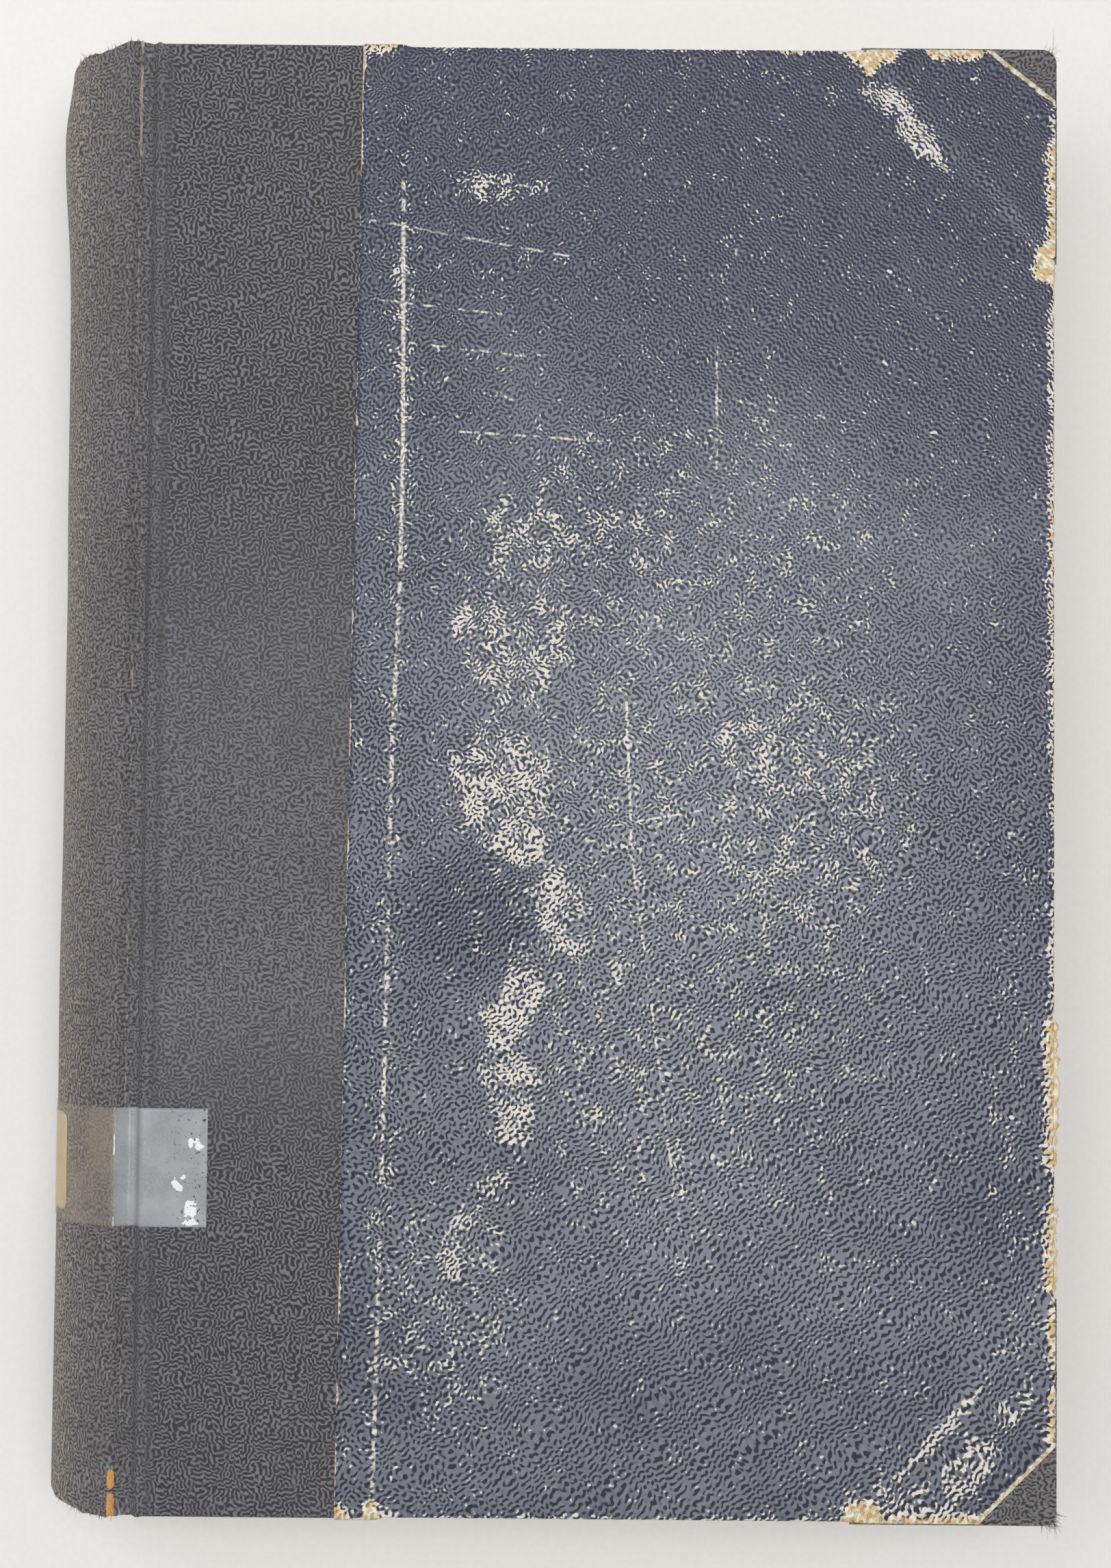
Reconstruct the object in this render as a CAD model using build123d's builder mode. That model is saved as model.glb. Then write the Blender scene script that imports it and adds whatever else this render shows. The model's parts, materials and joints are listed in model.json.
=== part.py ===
from build123d import *
from math import cos, radians, sin, sqrt
import os

os.makedirs("parts", exist_ok=True)

# A half-cloth bound book lying shut on its back cover. A rounded and backed text block
# sits in a hollow-back case: two boards and a card spine inlay held together by one cloth
# over the spine, with cloth fore corners and paper over the rest of each board.
#
# X runs from the spine to the fore edge, Y from the tail to the head and Z up through the
# thickness. The origin is the middle of the book's footprint, on the surface it lies on.
# Lengths are in millimetres. The back cover is drawn and the front one is its mirror image.

# Overall size
book_width = 165.0
book_height = 240.0
book_thickness = 38.0

# Sheet thicknesses
board_thick = 2.4
cloth_thick = 0.4
paper_thick = 0.25
endpaper_thick = 0.2
mull_thick = 0.2
kraft_thick = 0.2
inlay_thick = 0.9
label_thick = 0.1
tape_thick = 0.05
glue_line = 0.05

# Boards and the sheets on them, measured along the board
board_corner_radius = 2.0
turn_in = 15.0
pastedown_margin = 3.0
cloth_shown_head = 33.7
cloth_shown_tail = 31.9
paper_overlap = 7.1
paper_step = 0.5

# Fore corners: how far from the corner each line starts, along the short and the long edge, and
# the share of its own length by which a cutting line runs past both edges
corner_shown_head = (11.6, 9.1)
corner_shown_tail = (13.3, 13.3)
corner_cloth_head = (32.5, 36.0)
corner_cloth_tail = (33.6, 36.5)
corner_line_overrun = 0.2

# Joint between the spine and each board
joint_width = 4.2
groove_slope = 0.9
groove_floor = 1.4
groove_depth = 1.5
ridge_drop = 0.4
ridge_fold_radius = 0.8
groove_fold_radius = 0.9
board_fold_radius = 0.3

# Round of the spine
spine_swell = 12.8
inlay_angle = 48.0
lining_angle = 46.0
hollow_gap = 0.3

# Text block
head_square = 3.0
fore_square = 3.5
fore_hollow = 8.0
shoulder_clearance = 0.35
crest_fold_radius = 0.4
lining_margin = 12.0
mull_flange_reach = 25.0
headband_diameter = 1.7

# Paper label round the middle of the spine and the clear tape that holds it on
label_width = 25.0
label_height = 16.0
tape_height = 19.0
tape_reach = 10.8
tape_lap = 0.3
tape_below_middle = 64.5

# Levels above the surface under the book
half_height = book_height / 2
mid_z = book_thickness / 2
wrap = cloth_thick + paper_thick
board_out_z = wrap
board_in_z = board_out_z + board_thick
turn_in_z = board_in_z + wrap
cover_in_z = turn_in_z + endpaper_thick

# Lines across the width
fore_x = book_width / 2
spine_x = -fore_x + glue_line + label_thick + tape_thick
ridge_x = spine_x + spine_swell
board_near_x = ridge_x + joint_width
board_fore_x = fore_x - wrap
slope_x = board_near_x - groove_slope
floor_x = slope_x - groove_floor
hinge_x = (slope_x + floor_x) / 2
board_half = half_height - wrap
cloth_half = board_half + cloth_thick

# Spine circle, with heights counted from the middle of the thickness
ridge_h = mid_z - ridge_drop
round_radius = (ridge_h**2 + spine_swell**2) / (2 * spine_swell)
round_x = spine_x + round_radius
cloth_in_radius = round_radius - cloth_thick
inlay_in_radius = cloth_in_radius - inlay_thick
turn_in_radius = inlay_in_radius - cloth_thick
label_radius = round_radius + glue_line
lining_radius = turn_in_radius - hollow_gap
mull_radius = lining_radius - kraft_thick
block_radius = mull_radius - mull_thick
ridge_in_h = sqrt(cloth_in_radius**2 - (round_x - ridge_x) ** 2)

board_face_h = mid_z - board_out_z
floor_h = board_face_h - groove_depth

# Text block section
block_half_height = half_height - head_square
block_fore_x = fore_x - fore_square
block_top_h = mid_z - cover_in_z
leaf_h = block_top_h - endpaper_thick
shoulder_root_x = hinge_x - shoulder_clearance
shoulder_bend_x = floor_x - shoulder_clearance
shoulder_bend_h = floor_h - shoulder_clearance
crest_radius = cloth_in_radius - shoulder_clearance
crest_x = ridge_x
crest_h = sqrt(crest_radius**2 - (round_x - crest_x) ** 2)
back_x = round_x - block_radius * cos(radians(inlay_angle))
back_h = block_radius * sin(radians(inlay_angle))

reach = board_corner_radius + wrap + turn_in

# The section plane looks along the spine: its x is X and its y is height from mid_z.
section = Plane(origin=(0, 0, mid_z), x_dir=(1, 0, 0), z_dir=(0, -1, 0))
tape_section = section.offset(tape_below_middle)
mid_plane = Plane.XY.offset(mid_z)


def level(z):
    """Plan plane at a height above the surface under the book."""
    return Plane.XY.offset(z)


# Inner face of the case cloth: off one board, down into the joint groove, over the
# shoulder ridge, round the spine and back the same way to the other board.
with BuildLine() as case_line:
    joint_line = FilletPolyline(
        (board_near_x + tape_reach, board_face_h),
        (board_near_x, board_face_h),
        (slope_x, floor_h),
        (floor_x, floor_h),
        (ridge_x, ridge_in_h),
        radius=[board_fold_radius, groove_fold_radius, groove_fold_radius],
    )
    mirror(joint_line, about=Plane.XZ)
    ThreePointArc((ridge_x, ridge_in_h), (round_x - cloth_in_radius, 0), (ridge_x, -ridge_in_h))
    fillet(case_line.vertices().group_by(Axis.X)[0], radius=ridge_fold_radius)


def case_band(under, over):
    """Section of a sheet that follows the case, between two offsets from its inner face."""
    with BuildSketch(Plane.XY) as band:
        with BuildLine():
            add(case_line.line)
            offset(amount=over, side=Side.RIGHT)
        make_face()
        if under > 0:
            with BuildLine():
                add(case_line.line)
                offset(amount=under, side=Side.RIGHT)
            make_face(mode=Mode.SUBTRACT)
    return band.sketch


def round_band(inner_radius, outer_radius, half_chord):
    """Section of a sheet bent round the spine, cut level at its two long edges."""
    with BuildSketch(Plane.XY) as band:
        with Locations((round_x, 0)):
            Circle(outer_radius)
            Circle(inner_radius, mode=Mode.SUBTRACT)
            Rectangle(
                outer_radius,
                2 * half_chord,
                align=(Align.MAX, Align.CENTER),
                mode=Mode.INTERSECT,
            )
    return band.sketch


def spine_side():
    """Everything on the spine's side of the two hinge lines."""
    with Locations((hinge_x, 0)):
        Rectangle(
            book_width,
            2 * book_thickness,
            align=(Align.MAX, Align.CENTER),
            mode=Mode.INTERSECT,
        )


def back_board_side():
    """Everything on the back board's side of its hinge line."""
    with Locations((hinge_x, 0)):
        Rectangle(book_width, book_thickness, align=(Align.MIN, Align.MAX), mode=Mode.INTERSECT)


def board_outline(grow):
    """Outline of the board, grown on its three free edges by what wraps them."""
    with BuildSketch() as outline:
        with Locations((board_near_x, 0)):
            Rectangle(
                board_fore_x + grow - board_near_x,
                2 * (board_half + grow),
                align=(Align.MIN, Align.CENTER),
            )
        fore_corners = outline.vertices().group_by(Axis.X)[-1]
        fillet(fore_corners, radius=board_corner_radius + grow)
    return outline.sketch


def turned_in_area():
    """Middle of the board's inner face, which no turned-in edge reaches."""
    with Locations((board_near_x, 0)):
        Rectangle(
            board_fore_x - turn_in - board_near_x,
            2 * (board_half - turn_in),
            align=(Align.MIN, Align.CENTER),
        )


def cloth_line(shift):
    """Tail and head ends of a line along the spine cloth's paper edge, moved by shift."""
    head_x = board_near_x + cloth_shown_head
    tail_x = board_near_x + cloth_shown_tail
    lean = (head_x - tail_x) / book_height * reach
    tail_end = Vector(tail_x - lean + shift, -half_height - reach)
    head_end = Vector(head_x + lean + shift, half_height + reach)
    return tail_end, head_end


def corner_line(cut, grow, end):
    """Short-edge and long-edge ends of a corner line, at the head (1) or the tail (-1)."""
    short_end = Vector(fore_x - cut[0] - grow, end * half_height)
    long_end = Vector(fore_x, end * (half_height - cut[1] - grow))
    past = (long_end - short_end) * corner_line_overrun
    return short_end - past, long_end + past


def side_zone(shift, head_cut, tail_cut, grow):
    """Area of the board between a line near the spine and a line across each fore corner."""
    tail_end, head_end = cloth_line(shift)
    head_short, head_long = corner_line(head_cut, grow, 1)
    tail_short, tail_long = corner_line(tail_cut, grow, -1)
    with BuildSketch() as zone:
        with BuildLine():
            Polyline(
                tail_end,
                head_end,
                head_short,
                head_long,
                tail_long,
                tail_short,
                close=True,
            )
        make_face()
    return zone.sketch


def paper_zone():
    """Area that the side paper covers."""
    return side_zone(0, corner_shown_head, corner_shown_tail, 0)


def plain_zone(step):
    """Area where the side paper lies straight on the board, short of the cloth by step."""
    return side_zone(paper_overlap + step, corner_cloth_head, corner_cloth_tail, step)


# Text block: rounded back flaring out to two shoulders, and a hollow fore edge.
with BuildPart() as text_block:
    with BuildSketch(section) as block_section:
        with BuildLine():
            upper = Polyline(
                (block_fore_x, leaf_h),
                (shoulder_root_x, leaf_h),
                (shoulder_bend_x, shoulder_bend_h),
                (crest_x, crest_h),
            )
            flare = TangentArc(
                (back_x, back_h),
                (crest_x, crest_h),
                tangent=(sin(radians(inlay_angle)), cos(radians(inlay_angle))),
            )
            mirror([upper, flare], about=Plane.XZ)
            ThreePointArc((back_x, back_h), (round_x - block_radius, 0), (back_x, -back_h))
            ThreePointArc(
                (block_fore_x, leaf_h),
                (block_fore_x - fore_hollow, 0),
                (block_fore_x, -leaf_h),
            )
        make_face()
        by_height = block_section.vertices().sort_by(Axis.Y)
        fillet([by_height[0], by_height[-1]], radius=crest_fold_radius)
    extrude(amount=block_half_height, both=True)
text_block.part.label = "text_block"
export_step(text_block.part, "parts/text_block.step")

# Flyleaf on each face of the block, from the shoulder to the fore edge.
with BuildPart() as back_flyleaf:
    with BuildSketch(level(cover_in_z)):
        with Locations((shoulder_root_x, 0)):
            Rectangle(
                block_fore_x - shoulder_root_x,
                2 * block_half_height,
                align=(Align.MIN, Align.CENTER),
            )
    extrude(amount=endpaper_thick)
back_flyleaf.part.label = "back_flyleaf"
export_step(back_flyleaf.part, "parts/back_flyleaf.step")

# Open-weave mull and a kraft paper lining, glued one over the other on the block's back.
with BuildPart() as spine_mull:
    with BuildSketch(section):
        add(round_band(block_radius, mull_radius, mull_radius * sin(radians(lining_angle))))
    extrude(amount=block_half_height - lining_margin, both=True)
spine_mull.part.label = "spine_mull"
export_step(spine_mull.part, "parts/spine_mull.step")

with BuildPart() as kraft_lining:
    with BuildSketch(section):
        add(round_band(mull_radius, lining_radius, mull_radius * sin(radians(lining_angle))))
    extrude(amount=block_half_height - lining_margin, both=True)
kraft_lining.part.label = "kraft_lining"
export_step(kraft_lining.part, "parts/kraft_lining.step")

# Headbands: round beads bent along the block's back edge, one on its head and one on its tail.
headband_radius = headband_diameter / 2
round_axis = Axis((round_x, 0, mid_z), (0, 1, 0))
headband_start = Plane(
    origin=(round_x, 0, mid_z),
    x_dir=(-cos(radians(lining_angle)), 0, -sin(radians(lining_angle))),
    z_dir=(sin(radians(lining_angle)), 0, -cos(radians(lining_angle))),
)
for end_name, end in (("head", 1), ("tail", -1)):
    with BuildPart() as headband:
        with BuildSketch(headband_start):
            with Locations((block_radius - headband_radius, end * (block_half_height + headband_radius))):
                Circle(headband_radius)
        revolve(axis=round_axis, revolution_arc=2 * lining_angle)
    headband.part.label = f"headband_{end_name}"
    export_step(headband.part, f"parts/headband_{end_name}.step")

# Card inlay that stiffens the round of the case.
inlay_chord = inlay_in_radius * sin(radians(inlay_angle))
with BuildPart() as spine_inlay:
    with BuildSketch(section):
        add(round_band(inlay_in_radius, cloth_in_radius, inlay_chord))
    extrude(amount=board_half, both=True)
spine_inlay.part.label = "spine_inlay"
export_step(spine_inlay.part, "parts/spine_inlay.step")

# Spine cloth up to the hinge line in each groove, folded over the inlay at head and tail.
with BuildPart() as spine_cloth:
    with BuildSketch(section):
        add(case_band(0, cloth_thick))
        spine_side()
    extrude(amount=cloth_half, both=True)
    for end in (1, -1):
        with BuildSketch(section.offset(-end * board_half)):
            add(round_band(turn_in_radius, cloth_in_radius + cloth_thick / 2, inlay_chord))
        extrude(amount=-end * cloth_thick)
        with BuildSketch(section.offset(-end * board_half)):
            add(round_band(turn_in_radius, inlay_in_radius, inlay_chord))
        extrude(amount=end * turn_in)
spine_cloth.part.label = "spine_cloth"
export_step(spine_cloth.part, "parts/spine_cloth.step")

# Blank paper label bent round the middle of the spine, a glue line off the cloth.
label_chord = label_radius * sin(label_width / (2 * label_radius))
with BuildPart() as spine_label:
    with BuildSketch(tape_section):
        add(round_band(label_radius, label_radius + label_thick, label_chord))
    extrude(amount=label_height / 2, both=True)
spine_label.part.label = "spine_label"
export_step(spine_label.part, "parts/spine_label.step")

# Clear tape: it follows the cloth, rises over the label and is parted at the hinge lines.
tape_under = cloth_thick + glue_line
tape_over = tape_under + tape_thick
with BuildPart() as tape_spine:
    with BuildSketch(tape_section):
        add(case_band(tape_under, tape_over))
        spine_side()
    extrude(amount=tape_height / 2, both=True)
    with BuildSketch(tape_section):
        add(
            round_band(
                label_radius,
                label_radius + label_thick + tape_thick,
                label_chord + tape_lap,
            )
        )
    extrude(amount=label_height / 2 + tape_lap, both=True)
    add(spine_label.part, mode=Mode.SUBTRACT)
tape_spine.part.label = "tape_spine"
export_step(tape_spine.part, "parts/tape_spine.step")

with BuildPart() as back_tape:
    with BuildSketch(tape_section):
        add(case_band(tape_under, tape_over))
        back_board_side()
    extrude(amount=tape_height / 2, both=True)
back_tape.part.label = "back_tape"
export_step(back_tape.part, "parts/back_tape.step")

# Back board, eased along the joint where the cloth bends over it.
with BuildPart() as back_board:
    with BuildSketch(level(board_out_z)):
        add(board_outline(0))
    extrude(amount=board_thick)
    joint_edges = back_board.edges().filter_by(Axis.Y).group_by(Axis.X)[0]
    fillet(joint_edges.sort_by(Axis.Z)[0], radius=board_fold_radius)
back_board.part.label = "back_board"
export_step(back_board.part, "parts/back_board.step")

# Board cloth: the spine cloth's continuation, from the groove to its edge under the
# paper, folded over the board's head and tail.
cloth_out_z = board_out_z - cloth_thick
cloth_in_z = board_in_z + cloth_thick
with BuildPart() as back_cloth:
    with BuildSketch(level(cloth_out_z)):
        add(board_outline(cloth_thick))
        with BuildLine():
            tail_end, head_end = cloth_line(paper_overlap)
            Polyline(
                tail_end,
                head_end,
                (-fore_x, head_end.Y),
                (-fore_x, tail_end.Y),
                close=True,
            )
        make_face(mode=Mode.INTERSECT)
    extrude(amount=cloth_in_z - cloth_out_z)
    joint_edges = back_cloth.edges().filter_by(Axis.Y).group_by(Axis.X)[0]
    fillet(joint_edges.sort_by(Axis.Z)[0], radius=board_fold_radius + cloth_thick)
    with BuildSketch(section):
        add(case_band(0, cloth_thick))
        back_board_side()
    extrude(amount=cloth_half, both=True)
    add(back_board.part, mode=Mode.SUBTRACT)
    with BuildSketch(level(board_in_z)):
        turned_in_area()
    extrude(amount=wrap, mode=Mode.SUBTRACT)
back_cloth.part.label = "back_cloth"
export_step(back_cloth.part, "parts/back_cloth.step")


def corner_cloth(cut, end):
    """Cloth triangle folded round one fore corner of the back board."""
    short_end, long_end = corner_line(cut, 0, end)
    with BuildPart() as corner:
        with BuildSketch(level(cloth_out_z)):
            add(board_outline(cloth_thick))
            with BuildLine():
                Polyline(
                    short_end,
                    (fore_x + reach, end * (half_height + reach)),
                    long_end,
                    close=True,
                )
            make_face(mode=Mode.INTERSECT)
        extrude(amount=cloth_in_z - cloth_out_z)
        add(back_board.part, mode=Mode.SUBTRACT)
        with BuildSketch(level(board_in_z)):
            turned_in_area()
        extrude(amount=wrap, mode=Mode.SUBTRACT)
    return corner


back_corner_head = corner_cloth(corner_cloth_head, 1)
back_corner_head.part.label = "back_corner_head"
export_step(back_corner_head.part, "parts/back_corner_head.step")

back_corner_tail = corner_cloth(corner_cloth_tail, -1)
back_corner_tail.part.label = "back_corner_tail"
export_step(back_corner_tail.part, "parts/back_corner_tail.step")

# Side paper: it lies on the board, steps up over the hidden edges of the cloth, and is
# folded over the board's three free edges.
with BuildPart() as back_siding:
    with BuildSketch(level(0)):
        add(board_outline(wrap))
        add(paper_zone(), mode=Mode.INTERSECT)
    extrude(amount=turn_in_z)
    with BuildSketch(level(cloth_out_z)):
        add(board_outline(cloth_thick))
        add(plain_zone(0), mode=Mode.SUBTRACT)
    extrude(amount=cloth_in_z - cloth_out_z, mode=Mode.SUBTRACT)
    add(back_board.part, mode=Mode.SUBTRACT)
    with BuildSketch(level(0)):
        add(board_outline(wrap))
        add(plain_zone(paper_step), mode=Mode.INTERSECT)
    extrude(amount=board_out_z - paper_thick, mode=Mode.SUBTRACT)
    with BuildSketch(level(board_in_z + paper_thick)):
        add(board_outline(wrap))
        add(plain_zone(paper_step), mode=Mode.INTERSECT)
    extrude(amount=turn_in_z - board_in_z - paper_thick, mode=Mode.SUBTRACT)
    with BuildSketch(level(0)):
        add(board_outline(wrap))
        add(board_outline(paper_thick), mode=Mode.SUBTRACT)
        add(plain_zone(paper_step), mode=Mode.INTERSECT)
    extrude(amount=turn_in_z, mode=Mode.SUBTRACT)
    with BuildSketch(level(board_in_z)):
        turned_in_area()
    extrude(amount=wrap, mode=Mode.SUBTRACT)
back_siding.part.label = "back_siding"
export_step(back_siding.part, "parts/back_siding.step")

# Mull flange glued to the board's inner face.
with BuildPart() as back_mull_flange:
    with BuildSketch(level(board_in_z)):
        with Locations((board_near_x, 0)):
            Rectangle(
                mull_flange_reach,
                2 * (block_half_height - lining_margin - turn_in),
                align=(Align.MIN, Align.CENTER),
            )
    extrude(amount=mull_thick)
back_mull_flange.part.label = "back_mull_flange"
export_step(back_mull_flange.part, "parts/back_mull_flange.step")

# Pastedown: it fills the board's inner face level over the turned-in edges and stops
# short of the board's free edges.
with BuildPart() as back_pastedown:
    with BuildSketch(level(board_in_z)):
        with Locations((board_near_x, 0)):
            Rectangle(
                board_fore_x - pastedown_margin - board_near_x,
                2 * (board_half - pastedown_margin),
                align=(Align.MIN, Align.CENTER),
            )
    extrude(amount=cover_in_z - board_in_z)
    for covered in (back_cloth, back_corner_head, back_corner_tail, back_siding, back_mull_flange):
        add(covered.part, mode=Mode.SUBTRACT)
back_pastedown.part.label = "back_pastedown"
export_step(back_pastedown.part, "parts/back_pastedown.step")

# The front cover and its flyleaf mirror the back ones in the middle plane of the book.
for piece_name, back_piece in (
    ("board", back_board),
    ("cloth", back_cloth),
    ("corner_head", back_corner_head),
    ("corner_tail", back_corner_tail),
    ("siding", back_siding),
    ("mull_flange", back_mull_flange),
    ("pastedown", back_pastedown),
    ("tape", back_tape),
    ("flyleaf", back_flyleaf),
):
    with BuildPart() as front_piece:
        mirror(back_piece.part, about=mid_plane)
    front_piece.part.label = f"front_{piece_name}"
    export_step(front_piece.part, f"parts/front_{piece_name}.step")
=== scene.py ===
"""Dresses a half-cloth bound book: grained cloth case, leather-grained side paper, tape and leaves."""

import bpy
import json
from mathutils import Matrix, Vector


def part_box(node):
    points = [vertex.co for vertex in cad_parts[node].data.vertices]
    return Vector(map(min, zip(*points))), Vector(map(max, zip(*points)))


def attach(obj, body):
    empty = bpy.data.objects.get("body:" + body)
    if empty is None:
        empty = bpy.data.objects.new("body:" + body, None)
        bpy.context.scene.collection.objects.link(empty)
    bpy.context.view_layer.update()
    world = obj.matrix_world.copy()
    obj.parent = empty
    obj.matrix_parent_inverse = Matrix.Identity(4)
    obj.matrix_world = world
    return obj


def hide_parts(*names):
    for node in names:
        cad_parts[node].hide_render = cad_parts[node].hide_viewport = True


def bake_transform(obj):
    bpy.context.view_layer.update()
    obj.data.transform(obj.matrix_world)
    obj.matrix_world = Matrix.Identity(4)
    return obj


bl_info = {
    "name": "Half-Cloth Book",
    "version": (1, 0, 0),
    "blender": (4, 5, 0),
    "location": "3D Viewport > Sidebar > Book",
    "description": "Builds the cloth case, side papers, tape, label and paper finishes of an old book",
    "category": "Add Mesh",
}

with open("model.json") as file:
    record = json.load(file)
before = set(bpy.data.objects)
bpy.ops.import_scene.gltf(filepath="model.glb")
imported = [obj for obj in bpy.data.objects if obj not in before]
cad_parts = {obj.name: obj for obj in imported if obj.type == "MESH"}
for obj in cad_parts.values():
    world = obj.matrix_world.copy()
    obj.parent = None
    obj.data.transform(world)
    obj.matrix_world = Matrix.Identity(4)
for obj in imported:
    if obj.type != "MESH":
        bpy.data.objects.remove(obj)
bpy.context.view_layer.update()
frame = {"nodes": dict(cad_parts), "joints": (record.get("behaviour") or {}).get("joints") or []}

import json
import math

import bmesh
import bpy
import numpy as np

MM = 0.001
SIDES = {"front": 1, "back": -1}

# The closed book, read from the frame
HINGE = frame["joints"][0]["pos_m"]
COVER_Z = HINGE[2]
MID_Z = COVER_Z / 2
BOARD_LOW, BOARD_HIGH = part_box("front_board")

# The case line, as the solids have it
ROUND_RADIUS = 19.914 * MM
ROUND_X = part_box("spine_cloth")[0][0] + ROUND_RADIUS
RIDGE_X = -69.5 * MM
RIDGE_ANGLE = math.acos((ROUND_X - RIDGE_X) / ROUND_RADIUS)
GROOVE_LEFT = -67.6 * MM
GROOVE_RIGHT = -66.2 * MM
GROOVE_DEPTH = 1.75 * MM
CLOTH = 0.4 * MM
PAPER = 0.25 * MM
TAPE = 0.05 * MM
GLUE = 0.05 * MM
LABEL = 0.1 * MM
CORNER_SOFTNESS = 0.3 * MM
LINE_STEP = 0.05 * MM
TURN_IN = 15 * MM
SPINE_FOLD = 1.7 * MM
JOINT_FOLD = 0.85 * MM
FOLD_ROUNDING = 1.1 * MM
FOLD_SQUARENESS = 3.0

# Where the round has swollen most, and how far the swelling spreads on either side of it
SWELL_Y = 107 * MM
SWELL_BELOW = 18.5 * MM
SWELL_ABOVE = 9.5 * MM

# Edges of the cloth and of the side paper on a board, at the head and at the tail
END_Y = BOARD_HIGH[1] + CLOTH
PAPER_END_Y = BOARD_HIGH[1] + PAPER
PAPER_FORE_X = BOARD_HIGH[0] + PAPER
CLOTH_EDGE = (-24.5 * MM, -26.3 * MM)
PAPER_EDGE = (-31.6 * MM, -33.4 * MM)
PAPER_CUT_HEAD = ((70.9 * MM, 120 * MM), (82.5 * MM, 110.9 * MM))
PAPER_CUT_TAIL = ((69.2 * MM, -120 * MM), (82.5 * MM, -106.7 * MM))
CORNER_CLOTH_HEAD = ((50.0 * MM, 120 * MM), (82.5 * MM, 84.0 * MM))
CORNER_CLOTH_TAIL = ((48.9 * MM, -120 * MM), (82.5 * MM, -83.5 * MM))
STEP_SOFTNESS = 0.9 * MM

# The photo's middle pixel, its place on the front cover, the turn of the photo's frame in radians
# and the size of one pixel there
PHOTO_MIDDLE = (812, 1145.5)
PHOTO_PLACE = (0.72 * MM, -1.68 * MM)
PHOTO_TURN = 0.0093
PIXEL = MM / 9.03


def srgb(red, green, blue):
    """A colour written as 0 to 255 in sRGB, as linear light from 0 to 1: a straight line near black and
    a power curve above it."""
    values = np.array((red, green, blue)) / 255
    curve = ((values + 0.055) / 1.055) ** 2.4
    return tuple(float(v) for v in np.where(values <= 0.04045, values / 12.92, curve))


def colour_property(name, description, red, green, blue):
    default = srgb(red, green, blue)
    return bpy.props.FloatVectorProperty(
        name=name, description=description, subtype="COLOR", size=3, min=0, max=1, default=default
    )


def length_property(name, description, default):
    return bpy.props.FloatProperty(
        name=name, description=description, default=default, unit="LENGTH", precision=5
    )


class ClothSettings(bpy.types.PropertyGroup):
    """Book cloth over the spine and the fore corners"""

    colour: colour_property("Cloth", "Cloth on the boards", 90, 91, 98)
    # Hollows is mostly painted shade in the grain's hollows, and also the random dark tone and the dark
    # line where the grain starts
    hollow: colour_property("Hollows", "Hollows of the pressed grain", 57, 54, 51)
    # Threads also carries a painted sheen in the woven middle
    thread: colour_property("Threads", "High threads and ridges of the cloth", 130, 130, 135)
    faded: colour_property(
        "Faded", "Cloth round the back, where light and hands have browned it", 170, 158, 146
    )
    # Rubbed also lights the shoulder streak, partly as a painted highlight
    rubbed: colour_property("Rubbed", "Starch and bare thread along the shoulder", 176, 168, 156)
    split: colour_property("Split", "Paste and paper seen where the joint has split", 204, 150, 84)
    grain_pitch: length_property("Grain pitch", "Distance between ridges of the pressed grain", 0.00074)
    thread_pitch: length_property("Thread pitch", "Distance between threads of the weave", 0.0005)
    grain_depth: length_property("Grain depth", "Height of the ridges", 0.00014)
    head_swell: length_property("Head swell", "How far the round has swollen near the head", 0.0016)
    fray: length_property("Fray", "How far the folded ends of the spine wander", 0.00016)


class PaperSettings(bpy.types.PropertyGroup):
    """Leather-grained side paper on the boards"""

    colour: colour_property("Paper", "Side paper where it is least faded", 66, 69, 86)
    # Faded also carries the painted sheen, the painted light towards the tail and the painted highlights on
    # the grain's high spots
    faded: colour_property("Faded", "Side paper where light and hands have dulled it", 126, 128, 138)
    # Hollows is painted shade in the grain's hollows
    hollow: colour_property("Hollows", "Hollows of the leather grain", 14, 17, 36)
    rubbed: colour_property("Rubbed", "Core of the paper where the colour is rubbed off", 210, 208, 200)
    bare: colour_property("Bare", "Board and old paste along worn edges", 206, 178, 130)
    cream: colour_property("Cream", "Fibres of the paper at the worst rubs", 228, 222, 206)
    grain_pitch: length_property("Grain pitch", "Distance between ridges of the leather grain", 0.0008)
    grain_depth: length_property("Grain depth", "Height of the ridges", 0.00016)
    spacing: length_property("Mesh spacing", "Distance between points of the front paper", 0.00082)


class TapeSettings(bpy.types.PropertyGroup):
    """Clear tape and paper label round the spine"""

    # Film is the milky cast on the board, partly a painted sheen
    film: colour_property("Film", "Milky cast of the clear tape", 196, 200, 203)
    aged: colour_property("Aged film", "Cast of the clear tape round the back", 188, 178, 158)
    label: colour_property("Label", "Yellowed paper of the blank label", 228, 214, 174)
    middle: length_property(
        "Middle", "Height of the tape's middle line, from the middle of the book", -0.0640
    )
    width: length_property("Width", "Width of the tape", 0.019)
    end: length_property("End", "Where the tape ends on the board", -0.0545)
    label_height: length_property("Label height", "Height of the label", 0.016)
    label_length: length_property("Label length", "Length of the label round the spine", 0.025)


class LeafSettings(bpy.types.PropertyGroup):
    """Leaves, endpapers, linings and boards"""

    page: colour_property("Page", "Leaf edges", 214, 200, 170)
    browned: colour_property("Browned", "Leaf edges where air and dust have browned them", 168, 142, 104)
    endpaper: colour_property("Endpaper", "Flyleaves and pastedowns", 226, 217, 198)
    board: colour_property("Board", "Pressed board", 150, 140, 122)
    kraft: colour_property("Kraft", "Lining paper of the spine", 158, 122, 84)
    mull: colour_property("Mull", "Open-weave lining", 214, 204, 182)
    cotton: colour_property("Headband", "Cotton of the headbands", 222, 214, 196)
    leaf: length_property("Leaf", "Thickness of one leaf", 0.00016)


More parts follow.
